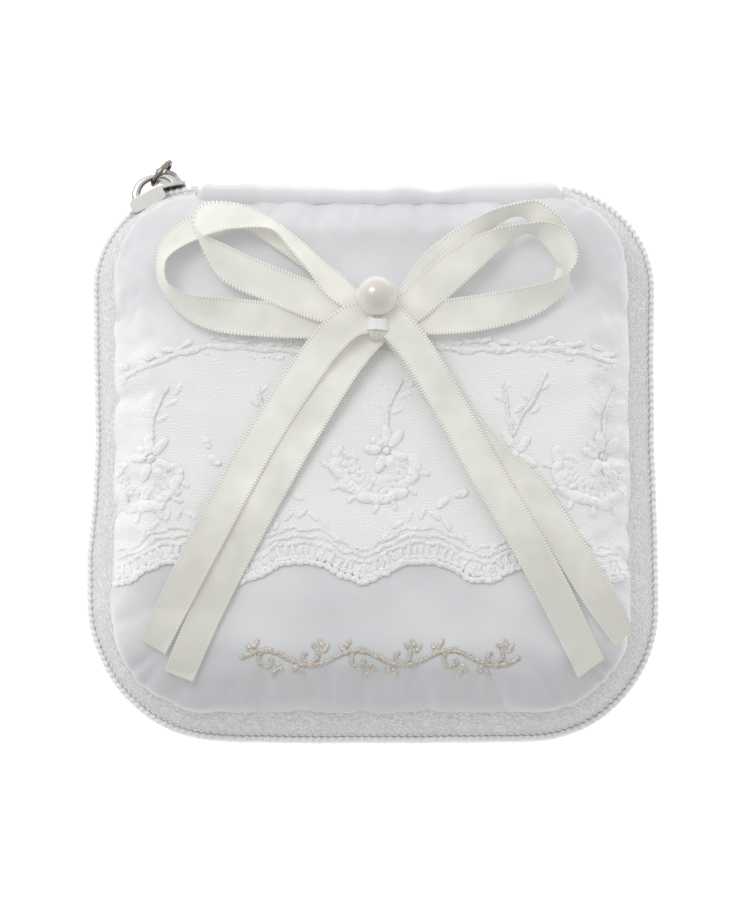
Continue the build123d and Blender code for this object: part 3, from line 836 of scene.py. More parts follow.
RIGHT_FRONT_LOOP = [
    (1.5, 27.5, 40.2, 3.5, 22.2, 39.2), (5.8, 30, 41.5, 9.0, 24.2, 40), (11.5, 35.4, 42.2, 15.7, 29.5, 40.6),
    (17.5, 40, 42.8, 21, 34.4, 41), (23.9, 42.9, 43, 26.4, 39.6, 39.5),
    (28.5, 43.9, 44.2, 29.2, 41.9, 38.2), (31.8, 44.2, 44.6, 31.6, 43.3, 37.8),
    (35.5, 44.6, 44.4, 33.5, 42.4, 38), (39.5, 43.2, 43.8, 36, 39.4, 38.6),
    (41.4, 40, 43.4, 37.6, 37, 38.2), (41.4, 36.6, 43.2, 39.6, 34.4, 37.4),
    (39, 33.8, 43, 40.2, 31.9, 37.2), (35, 32.2, 42.4, 37, 28.6, 37.4),
    (30, 31.2, 41.8, 32, 25.6, 38), (22, 30, 41, 23.5, 23.1, 38.8),
    (14.5, 29, 40.6, 15.5, 22.2, 38.8), (6.5, 28, 40, 7.5, 22.2, 38.8),
    (2, 27.5, 39.6, 2.5, 22.6, 38.6)]
RIGHT_BACK_LOOP = [
    (4.6, 29.8, 40, 7, 25, 39), (9.9, 37.6, 40.6, 13.6, 31.6, 39.2),
    (15.7, 42.5, 41.2, 19.6, 37, 39.2), (21.5, 45.8, 42.2, 22.5, 41.8, 38.2),
    (25.5, 47.5, 43.2, 26.2, 45.2, 38.2), (29.5, 48.4, 44, 29.6, 46.6, 38.4),
    (33.4, 49, 44.2, 32, 45.8, 38.7), (36.5, 47.2, 44, 33.2, 44, 39),
    (39.4, 44.2, 42, 35.6, 42, 37.8), (40.2, 40, 40, 37.8, 38.6, 36.8),
    (38.6, 33.5, 37.4, 36.5, 33, 36.9), (32, 26.5, 37.3, 31, 30.2, 37),
    (20, 23.8, 37.4, 19.5, 28.5, 37.2), (7, 23.4, 38, 6.5, 27, 38)]
LOOP_FLOOR = 37.3       # the loops stand up from here, and are pressed down by LOOP_RISE
LOOP_RISE = 0.66
for name, stations, node, seed in (
        ("bow_loop_left_lower_ribbon", LEFT_LOWER_LOOP, "bow_loop_left_lower", 1),
        ("bow_loop_left_upper_ribbon", LEFT_UPPER_LOOP, "bow_loop_left_upper", 2),
        ("bow_loop_right_back_ribbon", RIGHT_BACK_LOOP, "bow_loop_right_upper", 3),
        ("bow_loop_right_front_ribbon", RIGHT_FRONT_LOOP, "bow_loop_right_lower", 4)):
    flatter = np.array(stations, float)
    flatter[:, 2::3] = LOOP_FLOOR + LOOP_RISE * (flatter[:, 2::3] - LOOP_FLOOR)
    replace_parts(ribbon(name, flatter, clearance=0.5, seed=seed), node)


def tail_stations(middle, width, end):
    """Edge pairs beside a centre line, finished by the pair of points of the cut end."""
    middle = np.array(middle, float)
    along = unit(np.gradient(middle[:, :2], axis=0))
    side = np.column_stack([-along[:, 1], along[:, 0], np.zeros(len(along))]) * width / 2
    rows = np.hstack([middle - side, middle + side])
    (x1, y1), (x2, y2) = end
    level = middle[-1][2]
    rows[-1] = (x1, y1, level, x2, y2, level)
    return rows


TAIL_WIDTH = 6.7
TAILS = {
    "bow_tail_left_inner": ([(0.5, 23, 39.5), (-3.2, 18.8, 39), (-7.6, 12.5, 38.6),
                             (-18.3, -5.4, 37.6), (-30.4, -28.3, 37), (-38.6, -47, 36)],
                            ((-41.4, -45.9), (-35.8, -48.1)), 0.85),
    "bow_tail_left_outer": ([(0.8, 25.6, 40), (-1.8, 25, 41.2), (-5.5, 23.3, 41.5), (-10.5, 18.2, 40),
                             (-17, 8.8, 38.4), (-23.9, -2.4, 38), (-35.1, -23.5, 37.9),
                             (-43.7, -41.2, 36.5)], ((-46.3, -39.8), (-41.2, -42.6)), 1.35),
    "bow_tail_right_back": ([(2.5, 25, 38.6), (6, 22, 39), (14, 10.5, 38), (23, -2, 37.9), (31, -8.5, 37.5),
                             (38.5, -19.5, 37.2), (46.2, -31.7, 36.6), (50.7, -39.2, 35.2)],
                            ((49.1, -41.1), (52.4, -37.4)), 0.85),
    "bow_tail_right_front": ([(2.2, 26.2, 40), (4.8, 23.6, 41.2), (9, 18.5, 41), (15.1, 8.6, 39),
                              (22.7, -5.4, 38.6), (34.4, -26.1, 38.2), (44, -45.5, 36.6)],
                             ((41.4, -47.4), (46.6, -43.6)), 1.35)}
for seed, (node, (middle, end, clearance)) in enumerate(TAILS.items()):
    stations = tail_stations(middle, TAIL_WIDTH, end)
    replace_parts(ribbon(node + "_ribbon", stations, clearance=clearance, camber=0.15,
                       seed=5 + seed), node)


# --- Raised embroidery ------------------------------------------------------------------------
class Stitches:
    """Satin-stitched lobes and chains of them, gathered into one mesh."""

    def __init__(self, seed):
        self.points, self.faces = [], []
        self.random = random.Random(seed)

    def lobe(self, x, y, angle, length, width, height, lift=0.15, pitch=0.42):
        """A padded leaf of thread, its stitches lying across it."""
        if abs(x) > LACE_END - 0.6:
            return
        u, v = np.meshgrid(np.linspace(-1, 1, 11), np.linspace(-1, 1, 7), indexing="ij")
        u, v = u.ravel(), v.ravel()
        half = width / 2 * np.sqrt(np.maximum(0.02, 1 - np.abs(u) ** 2.4))
        bend = self.random.uniform(-0.12, 0.12) * width * (1 - u * u)
        along, across = u * length / 2, v * half + bend
        px = x + along * math.cos(angle) - across * math.sin(angle)
        py = y + along * math.sin(angle) + across * math.cos(angle)
        dome = np.sqrt(np.maximum(0, 1 - v**2)) * np.sqrt(np.maximum(0, 1 - np.abs(u) ** 3))
        thread = 0.16 * height * np.sin(2 * math.pi * along / pitch + self.random.uniform(0, 6))
        fluff = np.array([self.random.uniform(-0.1, 0.1) for _ in u])
        level = ground(px, py) + lift + 0.04 + dome * (0.48 * height + thread + fluff)
        base = len(self.points)
        self.points += np.column_stack([px, py, level]).tolist()
        self.faces += grid_faces(11, 7, offset=base)

    def chain(self, stations, length, width, height, lift=0.15, step=None, sway=0.2):
        """A cord of overlapping lobes along a curve."""
        rows = curve_through([(x, y, 0) for x, y in stations], step or length * 0.72)[0]
        for k in range(len(rows) - 1):
            (x1, y1), (x2, y2) = rows[k][:2], rows[k + 1][:2]
            tilt = self.random.uniform(-sway, sway)
            self.lobe((x1 + x2) / 2, (y1 + y2) / 2, math.atan2(y2 - y1, x2 - x1) + tilt,
                      length, width * self.random.uniform(0.85, 1.15),
                      height * self.random.uniform(0.85, 1.15), lift)

    def build(self, name, material, node):
        """All the stitches as one piece on the lid, in place of a CAD node."""
        thing = piece(name, self.points, self.faces, "lid", material)
        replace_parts(thing, node)
        return thing


# --- Lace -------------------------------------------------------------------------------------
SCALLOP_PITCH = 24.5
SCALLOP_MIDDLE = -1.95
LACE_END = 52.3


def scallop(x):
    """The lower edge of the lace: shallow arches between cusps that hang a little lower."""
    phase = (np.asarray(x, float) - SCALLOP_MIDDLE) / SCALLOP_PITCH
    near = np.abs((phase + 0.5) % 1 - 0.5) * 2
    small = 0.25 * np.sin(np.asarray(x, float) * 2 * math.pi / 5.2)
    return -27.9 + 3.9 * smooth(near / 0.85) + small * (1 - near) + 0.25 * (phase > 1.4)


def lace_top(x):
    """The upper edge of the lace, which wanders and sinks towards both ends."""
    x = np.asarray(x, float)
    return 19.6 - 4.6 * smooth((-30 - x) / 22) - 2.6 * smooth((x - 30) / 22) \
        + 0.5 * np.sin(x / 6.1 + 1)


def lace_net(columns=240, rows=90):
    """The net band, from seam to seam, lying over the satin in slight folds."""
    share = np.linspace(-1, 1, columns)
    x = share * LACE_END
    v = np.linspace(0, 1, rows)
    low, high = scallop(x) + 1.0, lace_top(x) + 0.8
    px = np.repeat(x[:, None], rows, 1)
    py = low[:, None] + (high - low)[:, None] * v[None]
    level = ground(px, py) + 0.22
    fold = rough(px.ravel() * 0.16, py.ravel() * 0.10, 4.0).reshape(px.shape)
    level += 0.18 * np.maximum(0, fold)
    points = np.column_stack([px.ravel(), py.ravel(), level.ravel()])
    faces = grid_faces(columns, rows)
    thing = piece("lace_net_band", points, [f[::-1] for f in faces], "lid", NET)
    set_uv(thing, [(a, b) for a, b in zip(px.ravel(), py.ravel())])
    return thing


net = lace_net()
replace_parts(net, "lace_band")


def slope_angle(edge, x):
    """The direction of an edge curve at x."""
    return math.atan2(float(edge(x + 0.4) - edge(x - 0.4)), 0.8)


def scallop_border():
    """The dense border: picots on the edge, upright bars, cords, and leaves at the cusps."""
    work = Stitches(3)
    rnd = work.random
    x = -LACE_END + 0.6
    while x < LACE_END - 0.4:
        angle = slope_angle(scallop, x)
        y = float(scallop(x))
        normal = angle + math.pi / 2
        work.lobe(x, y, angle + rnd.uniform(-0.3, 0.3), 1.9, 1.3, 0.7, 0.3)
        work.lobe(x + 0.5, y + 1.0, angle + rnd.uniform(-0.5, 0.5), 1.7, 1.1, 0.55, 0.3)
        bar_x, bar_y = x + 2.3 * math.cos(normal), y + 2.3 * math.sin(normal)
        work.lobe(bar_x, bar_y, normal + rnd.uniform(-0.2, 0.2), 2.5, 0.95, 0.6, 0.25)
        x += rnd.uniform(1.15, 1.5)
    for offset, width, height in ((3.9, 1.0, 0.6), (5.3, 0.9, 0.5), (6.8, 0.8, 0.45)):
        line = [(a, float(scallop(a)) + offset + 0.35 * math.sin(a * 1.1 + offset))
                for a in np.arange(-LACE_END + 0.8, LACE_END, 2.0)]
        work.chain(line, 2.2, width, height, 0.25, 1.3, 0.35)
    for k in range(-2, 3):
        middle = SCALLOP_MIDDLE + (k + 0.5) * SCALLOP_PITCH
        for a in np.linspace(-10, 10, 9):
            if abs(middle + a) > LACE_END - 1:
                continue
            y = float(scallop(middle + a)) + 8.2 + 1.6 * math.cos(a * 0.3)
            work.lobe(middle + a, y, rnd.uniform(0.3, 1.2) * (1 if a > 0 else -1) + math.pi / 2,
                      2.8, 1.2, 0.5, 0.25)
    return work.build("lace_scallop_embroidery", WHITE_THREAD,
                      "lace_scallop_edge")


def top_border():
    """The corded upper edge, with fluffy tufts along it."""
    work = Stitches(4)
    rnd = work.random
    line = [(a, float(lace_top(a)) + 0.35 * math.sin(a * 0.9))
            for a in np.arange(-LACE_END + 0.6, LACE_END, 2.0)]
    work.chain(line, 2.1, 1.1, 0.65, 0.25, 1.4, 0.35)
    for a in np.arange(-LACE_END + 1.5, LACE_END - 1, 1.9):
        if rnd.random() < 0.75:
            work.lobe(a, float(lace_top(a)) + rnd.uniform(0.9, 2.2), rnd.uniform(-0.5, 0.5),
                      rnd.uniform(1.8, 3.2), 1.3, 0.5, 0.15)
        if rnd.random() < 0.4:
            work.lobe(a, float(lace_top(a)) - rnd.uniform(0.9, 1.8), rnd.uniform(-0.6, 0.6),
                      2.0, 0.9, 0.4, 0.2)
    return work.build("lace_top_cord", WHITE_THREAD, "lace_top_edge")


def flower(work, x, y):
    """A flower with padded petals, a crescent of fluffy leaves under it and a stem above."""
    rnd = work.random
    for turn, length in ((95, 4.3), (48, 4.4), (-22, 4.0), (-68, 3.6), (-112, 4.0), (172, 3.6),
                         (138, 3.2)):
        a = math.radians(turn + rnd.uniform(-5, 5))
        reach = 0.9 + length / 2
        work.lobe(x + reach * math.cos(a), y + reach * math.sin(a), a, length, 2.1, 0.95, 0.3)
    work.lobe(x, y, 0.6, 1.6, 1.5, 0.9, 0.4)
    for k, turn in enumerate(np.linspace(165, 358, 15)):
        a = math.radians(turn + rnd.uniform(-4, 4))
        reach = 8.8 - 0.18 * k + rnd.uniform(-0.5, 0.5)
        work.lobe(x - 1.0 + reach * math.cos(a), y - 2.4 + reach * math.sin(a),
                  a + math.pi / 2 + rnd.uniform(-0.7, 0.7), rnd.uniform(3.0, 4.4),
                  rnd.uniform(1.9, 2.7), 0.9, 0.3)
        for inner in (1.9, 3.4):
            work.lobe(x - 1.0 + (reach - inner) * math.cos(a),
                      y - 2.4 + (reach - inner) * math.sin(a), a + rnd.uniform(-1, 1), 2.4, 1.3,
                      0.55, 0.25)
        if k % 2:
            work.lobe(x - 1.0 + (reach + 2.0) * math.cos(a), y - 2.4 + (reach + 2.0) * math.sin(a),
                      a + rnd.uniform(-0.4, 0.4), 2.6, 1.2, 0.5, 0.25)
    stem = [(x + 0.3, y + 4), (x + 0.2, y + 7.5), (x + 1.4, y + 11), (x + 3.2, y + 14.5)]
    work.chain(stem, 1.7, 0.8, 0.5, 0.35)
    for dx, dy, turn in ((2.2, 8.2, 30), (-1.6, 9.6, 130), (4.0, 11.4, 25), (-0.2, 13, 120),
                         (5.4, 14.2, 60)):
        work.lobe(x + dx, y + dy, math.radians(turn), 3.0, 1.2, 0.45, 0.2)


def flowers():
    """The three flowers of the lace, of which the outer two run into the seams."""
    work = Stitches(5)
    for x, y in ((-44.6, -3.0), (3.0, -1.4), (47.0, -2.2)):
        flower(work, x, y)
    return work.build("lace_flower_embroidery", WHITE_THREAD, "lace_flowers")


def sprigs():
    """Small sprigs between the flowers: a few padded leaves on curving cords."""
    work = Stitches(6)
    for x, y in ((30.1, -1.3), (-19.5, -2.2)):
        for dx, dy, turn, size in ((-2.6, 2.2, -60, 4.0), (0.8, 1.2, 55, 4.0), (1.6, -2.0, -35, 4.2),
                                   (-1.0, -1.6, -80, 3.2)):
            work.lobe(x + dx, y + dy, math.radians(turn), size, 1.9, 0.8, 0.3)
        for side, top in ((-1, 14), (1, 16)):
            stem = [(x - 1.5, y + 3), (x - 1 + side * 1.4, y + 7), (x + side * 2.8, y + 10.5),
                    (x + 1 + side * 4.5, y + top)]
            work.chain(stem, 1.6, 0.75, 0.5, 0.35)
            for k in range(4):
                work.lobe(x + side * (0.6 + 1.1 * k) + (1.4 if k % 2 else -1.4), y + 6 + 2.4 * k,
                          math.radians(90 + (-50 if k % 2 else 50)), 2.6, 1.1, 0.45, 0.25)
        for dx, dy, turn in ((2.6, -5.5, -50), (4.6, -8.5, -20), (0.5, -6.5, -110)):
            work.lobe(x + dx, y + dy, math.radians(turn), 2.8, 1.3, 0.5, 0.25)
    for x, y, turn in ((-31.6, -3.3, -40), (-33.4, 0.5, -60), (14.5, -12, 40), (18, -10, 10)):
        work.lobe(x, y, math.radians(turn), 3.4, 1.7, 0.6, 0.3)
    return work.build("lace_sprig_embroidery", WHITE_THREAD, "lace_sprigs")


scallop_border()
top_border()
flowers()
sprigs()


# --- The champagne scroll ---------------------------------------------------------------------
def scroll():
    """A running vine with curled tendrils and paired leaves, in metallic thread."""
    work = Stitches(8)
    left, right, count = -26.0, 29.6, 6
    middle = -43.3
    vine = [(x, middle + 1.5 * math.sin((x - left) * 2 * math.pi * count / 2 / (right - left)))
            for x in np.linspace(left, right, 25)]
    work.chain(vine, 1.2, 0.95, 0.6, 0.1, 0.5, 0.6)
    step = (right - left) / count
    for k in range(count):
        x = left + (k + 0.5) * step
        up = 1 if k % 2 == 0 else -1
        curl = [(x + up * 0.6 + (2.4 - 0.34 * t) * math.cos(t * 1.05 * up + 1.2),
                 middle - up * 0.5 + (2.4 - 0.34 * t) * math.sin(t * 1.05 * up + 1.2))
                for t in np.linspace(0, 5.2, 12)]
        work.chain(curl, 1.1, 0.85, 0.55, 0.1, 0.5, 0.6)
        for dx, dy, turn in ((-3.0, 2.0, 120), (-1.8, 2.9, 60), (3.0, -2.0, -60),
                             (2.0, -2.9, -120)):
            work.lobe(x + dx, middle + up * dy, math.radians(turn * up), 2.3, 1.05, 0.5, 0.1,
                      0.3)
    return work.build("scroll_embroidery", GOLD_THREAD, "embroidered_scroll")


scroll()


# --- Knot and pearl ---------------------------------------------------------------------------
PEARL_CENTRE = (PEARL_LOW + PEARL_HIGH) / 2
PEARL_RADIUS = (PEARL_HIGH[2] - PEARL_LOW[2]) / 2


def pearl(rings=48, around=64):
    """A round pearl with the mouth of its drilled hole on the left and right."""
    points = []
    for i in range(rings + 1):
        polar = math.pi * i / rings
        radius = PEARL_RADIUS * math.sin(polar)
        along = PEARL_RADIUS * math.cos(polar)
        if i in (0, rings):
            along *= 0.8
        elif i in (1, rings - 1):
            along *= 0.97
            radius *= 0.8
        for k in range(around):
            a = 2 * math.pi * k / around
            points.append(PEARL_CENTRE + np.array([along, radius * math.cos(a),
                                                   radius * math.sin(a)]))
    faces = grid_faces(rings + 1, around, close_columns=True)
    return piece("pearl_bead", points, faces, "lid", PEARL)


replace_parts(pearl(), "pearl")


def tube(path, radius, sides=10, spacing=0.25, taper=0.0):
    """Points and faces of a round cord along a smooth path."""
    rows, even = curve_through(path, spacing)
    tangent = unit(np.gradient(rows, axis=0))
    up = np.array([0.0, 0.0, 1.0]) if abs(tangent[0][2]) < 0.9 else np.array([1.0, 0, 0])
    side = unit(np.cross(tangent, up))
    other = np.cross(side, tangent)
    turn = np.linspace(0, 2 * math.pi, sides, endpoint=False)
    share = even / even[-1]
    size = radius * (1 - taper * np.abs(2 * share - 1) ** 3)
    ring = rows[:, None] + size[:, None, None] * (np.cos(turn)[None, :, None] * side[:, None]
                                                  + np.sin(turn)[None, :, None] * other[:, None])
    faces = grid_faces(len(rows), sides, close_columns=True) + end_caps(len(rows), sides)
    return ring.reshape(-1, 3).tolist(), faces


def join_parts(parts):
    """Several (points, faces) lists as one."""
    points, faces = [], []
    for more, polygons in parts:
        base = len(points)
        points += more
        faces += [tuple(i + base for i in f) for f in polygons]
    return points, faces


def knot():
    """The ribbon wrapped tightly round the bow's middle, and the thread wound over it."""
    x, front = 1.3, 21.2
    wraps = []
    for k in range(3):
        dx = (k - 1) * 0.95
        path = [(x + dx, 26.5, 38.2), (x + dx * 1.1, 25.8, 40.6), (x + dx * 1.1, 23.8, 41.3),
                (x + dx, 21.9, 40.7), (x + dx * 0.8, front, 39.0), (x + dx * 0.7, 21.6, 37.4)]
        wraps.append(tube(path, 0.95, 12, 0.3))
    points, faces = join_parts(wraps)
    wrap = piece("bow_knot_wrap", points, faces, "lid", KNOT)
    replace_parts(wrap, "bow_knot")
    turns = []
    for k in range(8):
        y = 22.5 + 0.27 * k
        path = [(x - 2.05, y, 40.3), (x - 1.75, y + 0.1, 41.9), (x, y + 0.05, 42.45),
                (x + 1.65, y - 0.1, 41.9), (x + 1.95, y, 40.3)]
        turns.append(tube(path, 0.22, 8, 0.3))
    for k in range(5):
        dx = -1.5 + 0.75 * k
        path = [(PEARL_CENTRE[0] + dx * 0.7, 28.4, 37.0), (PEARL_CENTRE[0] + dx, 27, 39.2),
                (PEARL_CENTRE[0] + dx, 25.6, 41.8)]
        turns.append(tube(path, 0.22, 8, 0.3))
    points, faces = join_parts(turns)
    thread = piece("pearl_sewing_thread", points, faces, "lid", WHITE_THREAD)
    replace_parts(thread, "pearl_thread")


knot()


# --- Spine --------------------------------------------------------------------------------------
SPINE_LEFT, SPINE_RIGHT = SPINE_LOW[0], SPINE_HIGH[0]
SPINE_PROFILE = [(50.6, 8.3), (52.6, 8.35), (54.4, 8.9), (55.7, 10.4), (57.0, 13.5), (57.5, 18),
                 (57.1, 21.8), (56.4, 25), (55.6, 27.8), (54.8, 29.6), (53.9, 31.0), (52.9, 31.4),
                 (51.8, 31.3), (50.6, 30.6)]


def spine_piece(name, start, end, inward, material, columns=160, rows=30):
    """Part of the spine panel as a thick cloth, gathered into soft waves. start and end are
    shares of the way from the back seam to the front one."""
    x = np.linspace(SPINE_LEFT, SPINE_RIGHT, columns)
    share = np.linspace(start, end, rows)
    line, even = curve_through([(y, z, 0) for y, z in SPINE_PROFILE], 0.2)
    depth = np.interp(share, even / even[-1], line[:, 0])
    level = np.interp(share, even / even[-1], line[:, 1])
    lean = np.arctan2(np.gradient(level), np.gradient(depth))
    depth, level = depth - inward * np.sin(lean), level + inward * np.cos(lean)
    dip = -1.5 * np.exp(-((x - 14) / 4.5) ** 2) - 0.8 * np.exp(-((x + 4) / 10) ** 2) \
        + 0.35 * np.exp(-((x - 31) / 7) ** 2) + 0.3 * wave(x / 8, 11)
    hold = np.sin(np.pi * np.clip(share, 0, 1)) ** 0.6
    ends = smooth((x - SPINE_LEFT) / 1.5) * smooth((SPINE_RIGHT - x) / 1.5)
    px = np.repeat(x[:, None], rows, 1)
    py = depth[None] + dip[:, None] * hold[None] - 1.2 * (1 - ends)[:, None]
    crease = 0.35 * wave(x / 2.6, 12)
    py = py + crease[:, None] * (1 - hold[None])
    pz = np.repeat(level[None], columns, 0) + 0.4 * wave(x / 6, 13)[:, None] * hold[None]
    points = np.column_stack([px.ravel(), py.ravel(), pz.ravel()])
    thing = piece(name, points, grid_faces(columns, rows), None, material)
    thicken(thing, 0.45)
    return thing


def blend_spine(thing, lower):
    """Bake a spine piece's placement into its points, the same for the lower and the upper piece."""
    if lower:
        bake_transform(thing)
    else:
        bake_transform(thing)


for name, start, end, inward, material, slot, node in (
        ("spine_satin_lower", 0.0, 0.54, 0, SATIN, "satin", "spine_panel"),
        ("spine_satin_upper", 0.54, 1.0, 0, SATIN, "satin", None),
        ("spine_lining_lower", 0.0, 0.54, 0.8, LINING, "lining", "spine_lining"),
        ("spine_lining_upper", 0.54, 0.9, 0.9, LINING, "lining", None)):
    part = spine_piece(name, start, end, inward, material)
    if node:
        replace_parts(part, node)
    lower = start == 0.0
    blend_spine(part, lower)


# --- Inside ---------------------------------------------------------------------------------------
def lining(name, node, side, body, count=49):
    """A lining panel inside a cover: nearly flat, with soft pulls where it meets the seam."""
    x, y, near = cover_grid(count)
    low, high = corners(node)
    shrink = high[0] / COVER.half_width
    inner = low[2] if side > 0 else high[2]
    swell = 0.5 * (1 - near**4)
    pull = rough(x * 0.07, y * 0.07, 2.0 * side)
    rim = rough(np.arctan2(y, x) * 9, np.full(len(x), 3.0 * side), 0)
    depth = swell + 0.5 * pull * (1 - near**6) + 0.5 * rim * smooth((near - 0.6) / 0.35) \
        * (1 - smooth((near - 0.95) / 0.05))
    level = inner + side * (0.1 - depth * 0.6 + 0.8)
    thing = piece(name, np.column_stack([x * shrink, y * shrink, level]),
                  grid_faces(count, count), None, LINING)
    thicken(thing, 0.3, 0)
    refine(thing)
    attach(thing, body)
    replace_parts(thing, node)
    return thing


lining("back_lining_cloth", "back_lining", -1, "base")
lining("front_lining_cloth", "front_lining", 1, "lid")


def ring_pillow():
    """The small pillow the rings are tied to: two blown-up panels with gathered corners."""
    low, high = corners("ring_pillow")
    count = 49
    u, v = np.meshgrid(np.linspace(-1, 1, count), np.linspace(-1, 1, count))
    u, v = u.ravel(), v.ravel()
    hx, hy = high[0], high[1]
    rounding = 1 - 0.09 * (np.abs(u * v)) ** 2
    draw = 1 - 0.035 * (1 - np.abs(u) ** 2) * smooth((np.abs(v) - 0.3) / 0.7)
    pull = 1 - 0.035 * (1 - np.abs(v) ** 2) * smooth((np.abs(u) - 0.3) / 0.7)
    x, y = u * hx * rounding * pull, v * hy * rounding * draw
    dome = ((1 - u**2) * (1 - v**2)) ** 0.42
    middle = low[2] + 2.6
    pucker = rough(np.arctan2(v, u) * 7, np.ones(len(u)), 5.0)
    near = np.maximum(np.abs(u), np.abs(v))
    up = dome * (high[2] - middle) * (1 + 0.12 * pucker * smooth((near - 0.4) / 0.5))
    tuck = 1.3 * np.exp(-(x**2 + y**2) / 18)
    top = middle + up - tuck
    bottom = middle - dome * (middle - low[2] - 0.2)
    upper = np.column_stack([x, y, top])
    lower = np.column_stack([x, y, np.minimum(bottom, top - 0.05)])
    faces = grid_faces(count, count) + [f[::-1] for f in grid_faces(count, count,
                                                                    offset=count * count)]
    thing = piece("ring_pillow_satin", np.vstack([upper, lower]), faces, None,
                  PILLOW)
    weld = thing.modifiers.new("weld", "WELD")
    weld.merge_threshold = 0.06 * MM
    refine(thing)
    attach(thing, "base")
    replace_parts(thing, "ring_pillow")

    def top_level(px, py):
        """The height of the pillow's upper side."""
        a, b = px / hx, py / hy
        return middle + max(0.0, (1 - a * a) * (1 - b * b)) ** 0.42 * (high[2] - middle) \
            - 1.3 * math.exp(-(px**2 + py**2) / 18)

    for side, name in ((-1, "left"), (1, "right")):
        line = [(side * 0.8, 0.4), (side * 5, 1.6), (side * 9.3, -0.4), (side * 12.7, -5),
                (side * 15.8, -11.5), (side * 18.8, -18), (side * 21, -23.5)]
        middle_line = [(a, b, top_level(a, b) + 0.35) for a, b in line]
        end = [(side * 21 - 2.4, -22.6), (side * 21 + 2.3, -24.2)]
        if side < 0:
            end = [(side * 21 - 2.3, -24.2), (side * 21 + 2.4, -22.6)]
        stations = tail_stations(middle_line, 5.0, end)
        tie = ribbon(f"ring_ribbon_{name}_satin", stations, body="base", camber=0.12,
                     seed=20 + side)
        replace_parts(tie, f"ring_ribbon_{name}")
    top = top_level(0, 0)
    points, faces = tube([(-1.9, 0.6, top + 0.6), (0, 0.9, top + 1.1), (1.9, 0.6, top + 0.6)], 1.25,
                         14, 0.2, 0.5)
    piece("ring_ribbon_knot", points, faces, "base", KNOT)


ring_pillow()


# --- Metal ------------------------------------------------------------------------------------
CORNER = np.array([-ZIP.half_width + ZIP.top_radius, ZIP.top - ZIP.top_radius])


def arc_sweep(section, angles):
    """A closed solid whose section, points of (radius, level), follows the zip's corner. The
    section may change with the angle, in degrees."""
    rows = []
    for turn in angles:
        a = math.radians(turn)
        rows.append([(CORNER[0] + r * math.cos(a), CORNER[1] + r * math.sin(a), z)
                     for r, z in section(turn)])
    count = len(rows[0])
    faces = grid_faces(len(rows), count, close_columns=True) + end_caps(len(rows), count)
    return [point for row in rows for point in row], faces


def band(outside, inside, half):
    """A section of the slider: from one radius to another, and as far above the zip as below."""
    return [(outside, ZIP_LEVEL + half), (inside, ZIP_LEVEL + half), (inside, ZIP_LEVEL - half),
            (outside, ZIP_LEVEL - half)]


def flange(level, turn=118.8, length=7.4, width=2.6, radius=21.55, thickness=1.1, corner=0.9):
    """A flat plate with rounded corners that lies over the coil."""
    out = np.array([math.cos(math.radians(turn)), math.sin(math.radians(turn))])
    side = np.array([-out[1], out[0]])
    outline = []
    for k in range(24):
        a = 2 * math.pi * (k + 0.5) / 24
        sx, sy = math.copysign(1, math.cos(a)), math.copysign(1, math.sin(a))
        t = sx * (length / 2 - corner) + corner * math.cos(a)
        n = sy * (width / 2 - corner) + corner * math.sin(a)
        outline.append(CORNER + (radius + n) * out + t * side)
    points = [(*p, level + z) for z in (-thickness / 2, thickness / 2) for p in outline]
    faces = [f[::-1] for f in grid_faces(2, 24, close_columns=True)]
    return points, faces + end_caps(2, 24)


def slider():
    """The slider's body: an outer plate along the coil, a flat flange with rounded corners over it above
    and below, the inner plate, and the bridge between them. A section is given for a turn round the
    corner, in degrees."""
    def outer(turn):
        return band(23.4, 22.6, 3.7 - 0.5 * float(smooth((103 - turn) / 6)))

    def inner(_):
        return band(19.0, 18.25, 3.4)

    def bridge(_):
        return band(22.7, 18.6, 1.6)

    points, faces = join_parts([arc_sweep(outer, np.linspace(96.5, 127, 40)),
                                arc_sweep(inner, np.linspace(99, 124, 24)),
                                arc_sweep(bridge, np.linspace(97.2, 99, 4)),
                                flange(ZIP_LEVEL + 3.9), flange(ZIP_LEVEL - 3.9)])
    thing = piece("slider_body_cast", points, faces, "slider", METAL, False)
    soften(thing, 0.36)
    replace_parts(thing, "slider_body")


def crown():
    """The bail on the slider: a flat strap bent into an uneven arch."""
    out = np.array([math.cos(math.radians(111)), math.sin(math.radians(111))])
    along = np.array([out[1], -out[0]])
    foot = CORNER + 23.9 * out
    arch = [(-5.1, -1.0), (-4.65, 0.6), (-3.0, 2.15), (-0.4, 2.55), (2.0, 1.85), (3.2, 0.6),
            (3.8, -1.2)]
    rows, even = curve_through([(*(foot + t * along + n * out), 0) for t, n in arch], 0.25)
    tangent = unit(np.gradient(rows[:, :2], axis=0))
    side = np.column_stack([-tangent[:, 1], tangent[:, 0]])
    height = 1.15
    halves = np.interp(even / even[-1], [0, 0.3, 0.55, 0.8, 1], [0.95, 0.75, 0.45, 0.65, 0.85])
    corner_points = [(-1, -0.7), (-1, 0.7), (-0.7, 1), (0.7, 1), (1, 0.7), (1, -0.7), (0.7, -1),
                     (-0.7, -1)]
    points = []
    for row, n, half in zip(rows, side, halves):
        for a, b in corner_points:
            points.append((row[0] + n[0] * a * half, row[1] + n[1] * a * half,
                           ZIP_LEVEL + b * height))
    faces = grid_faces(len(rows), 8, close_columns=True) + end_caps(len(rows), 8)
    thing = piece("slider_crown_strap", points, faces, "slider", METAL)
    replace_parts(thing, "slider_crown")


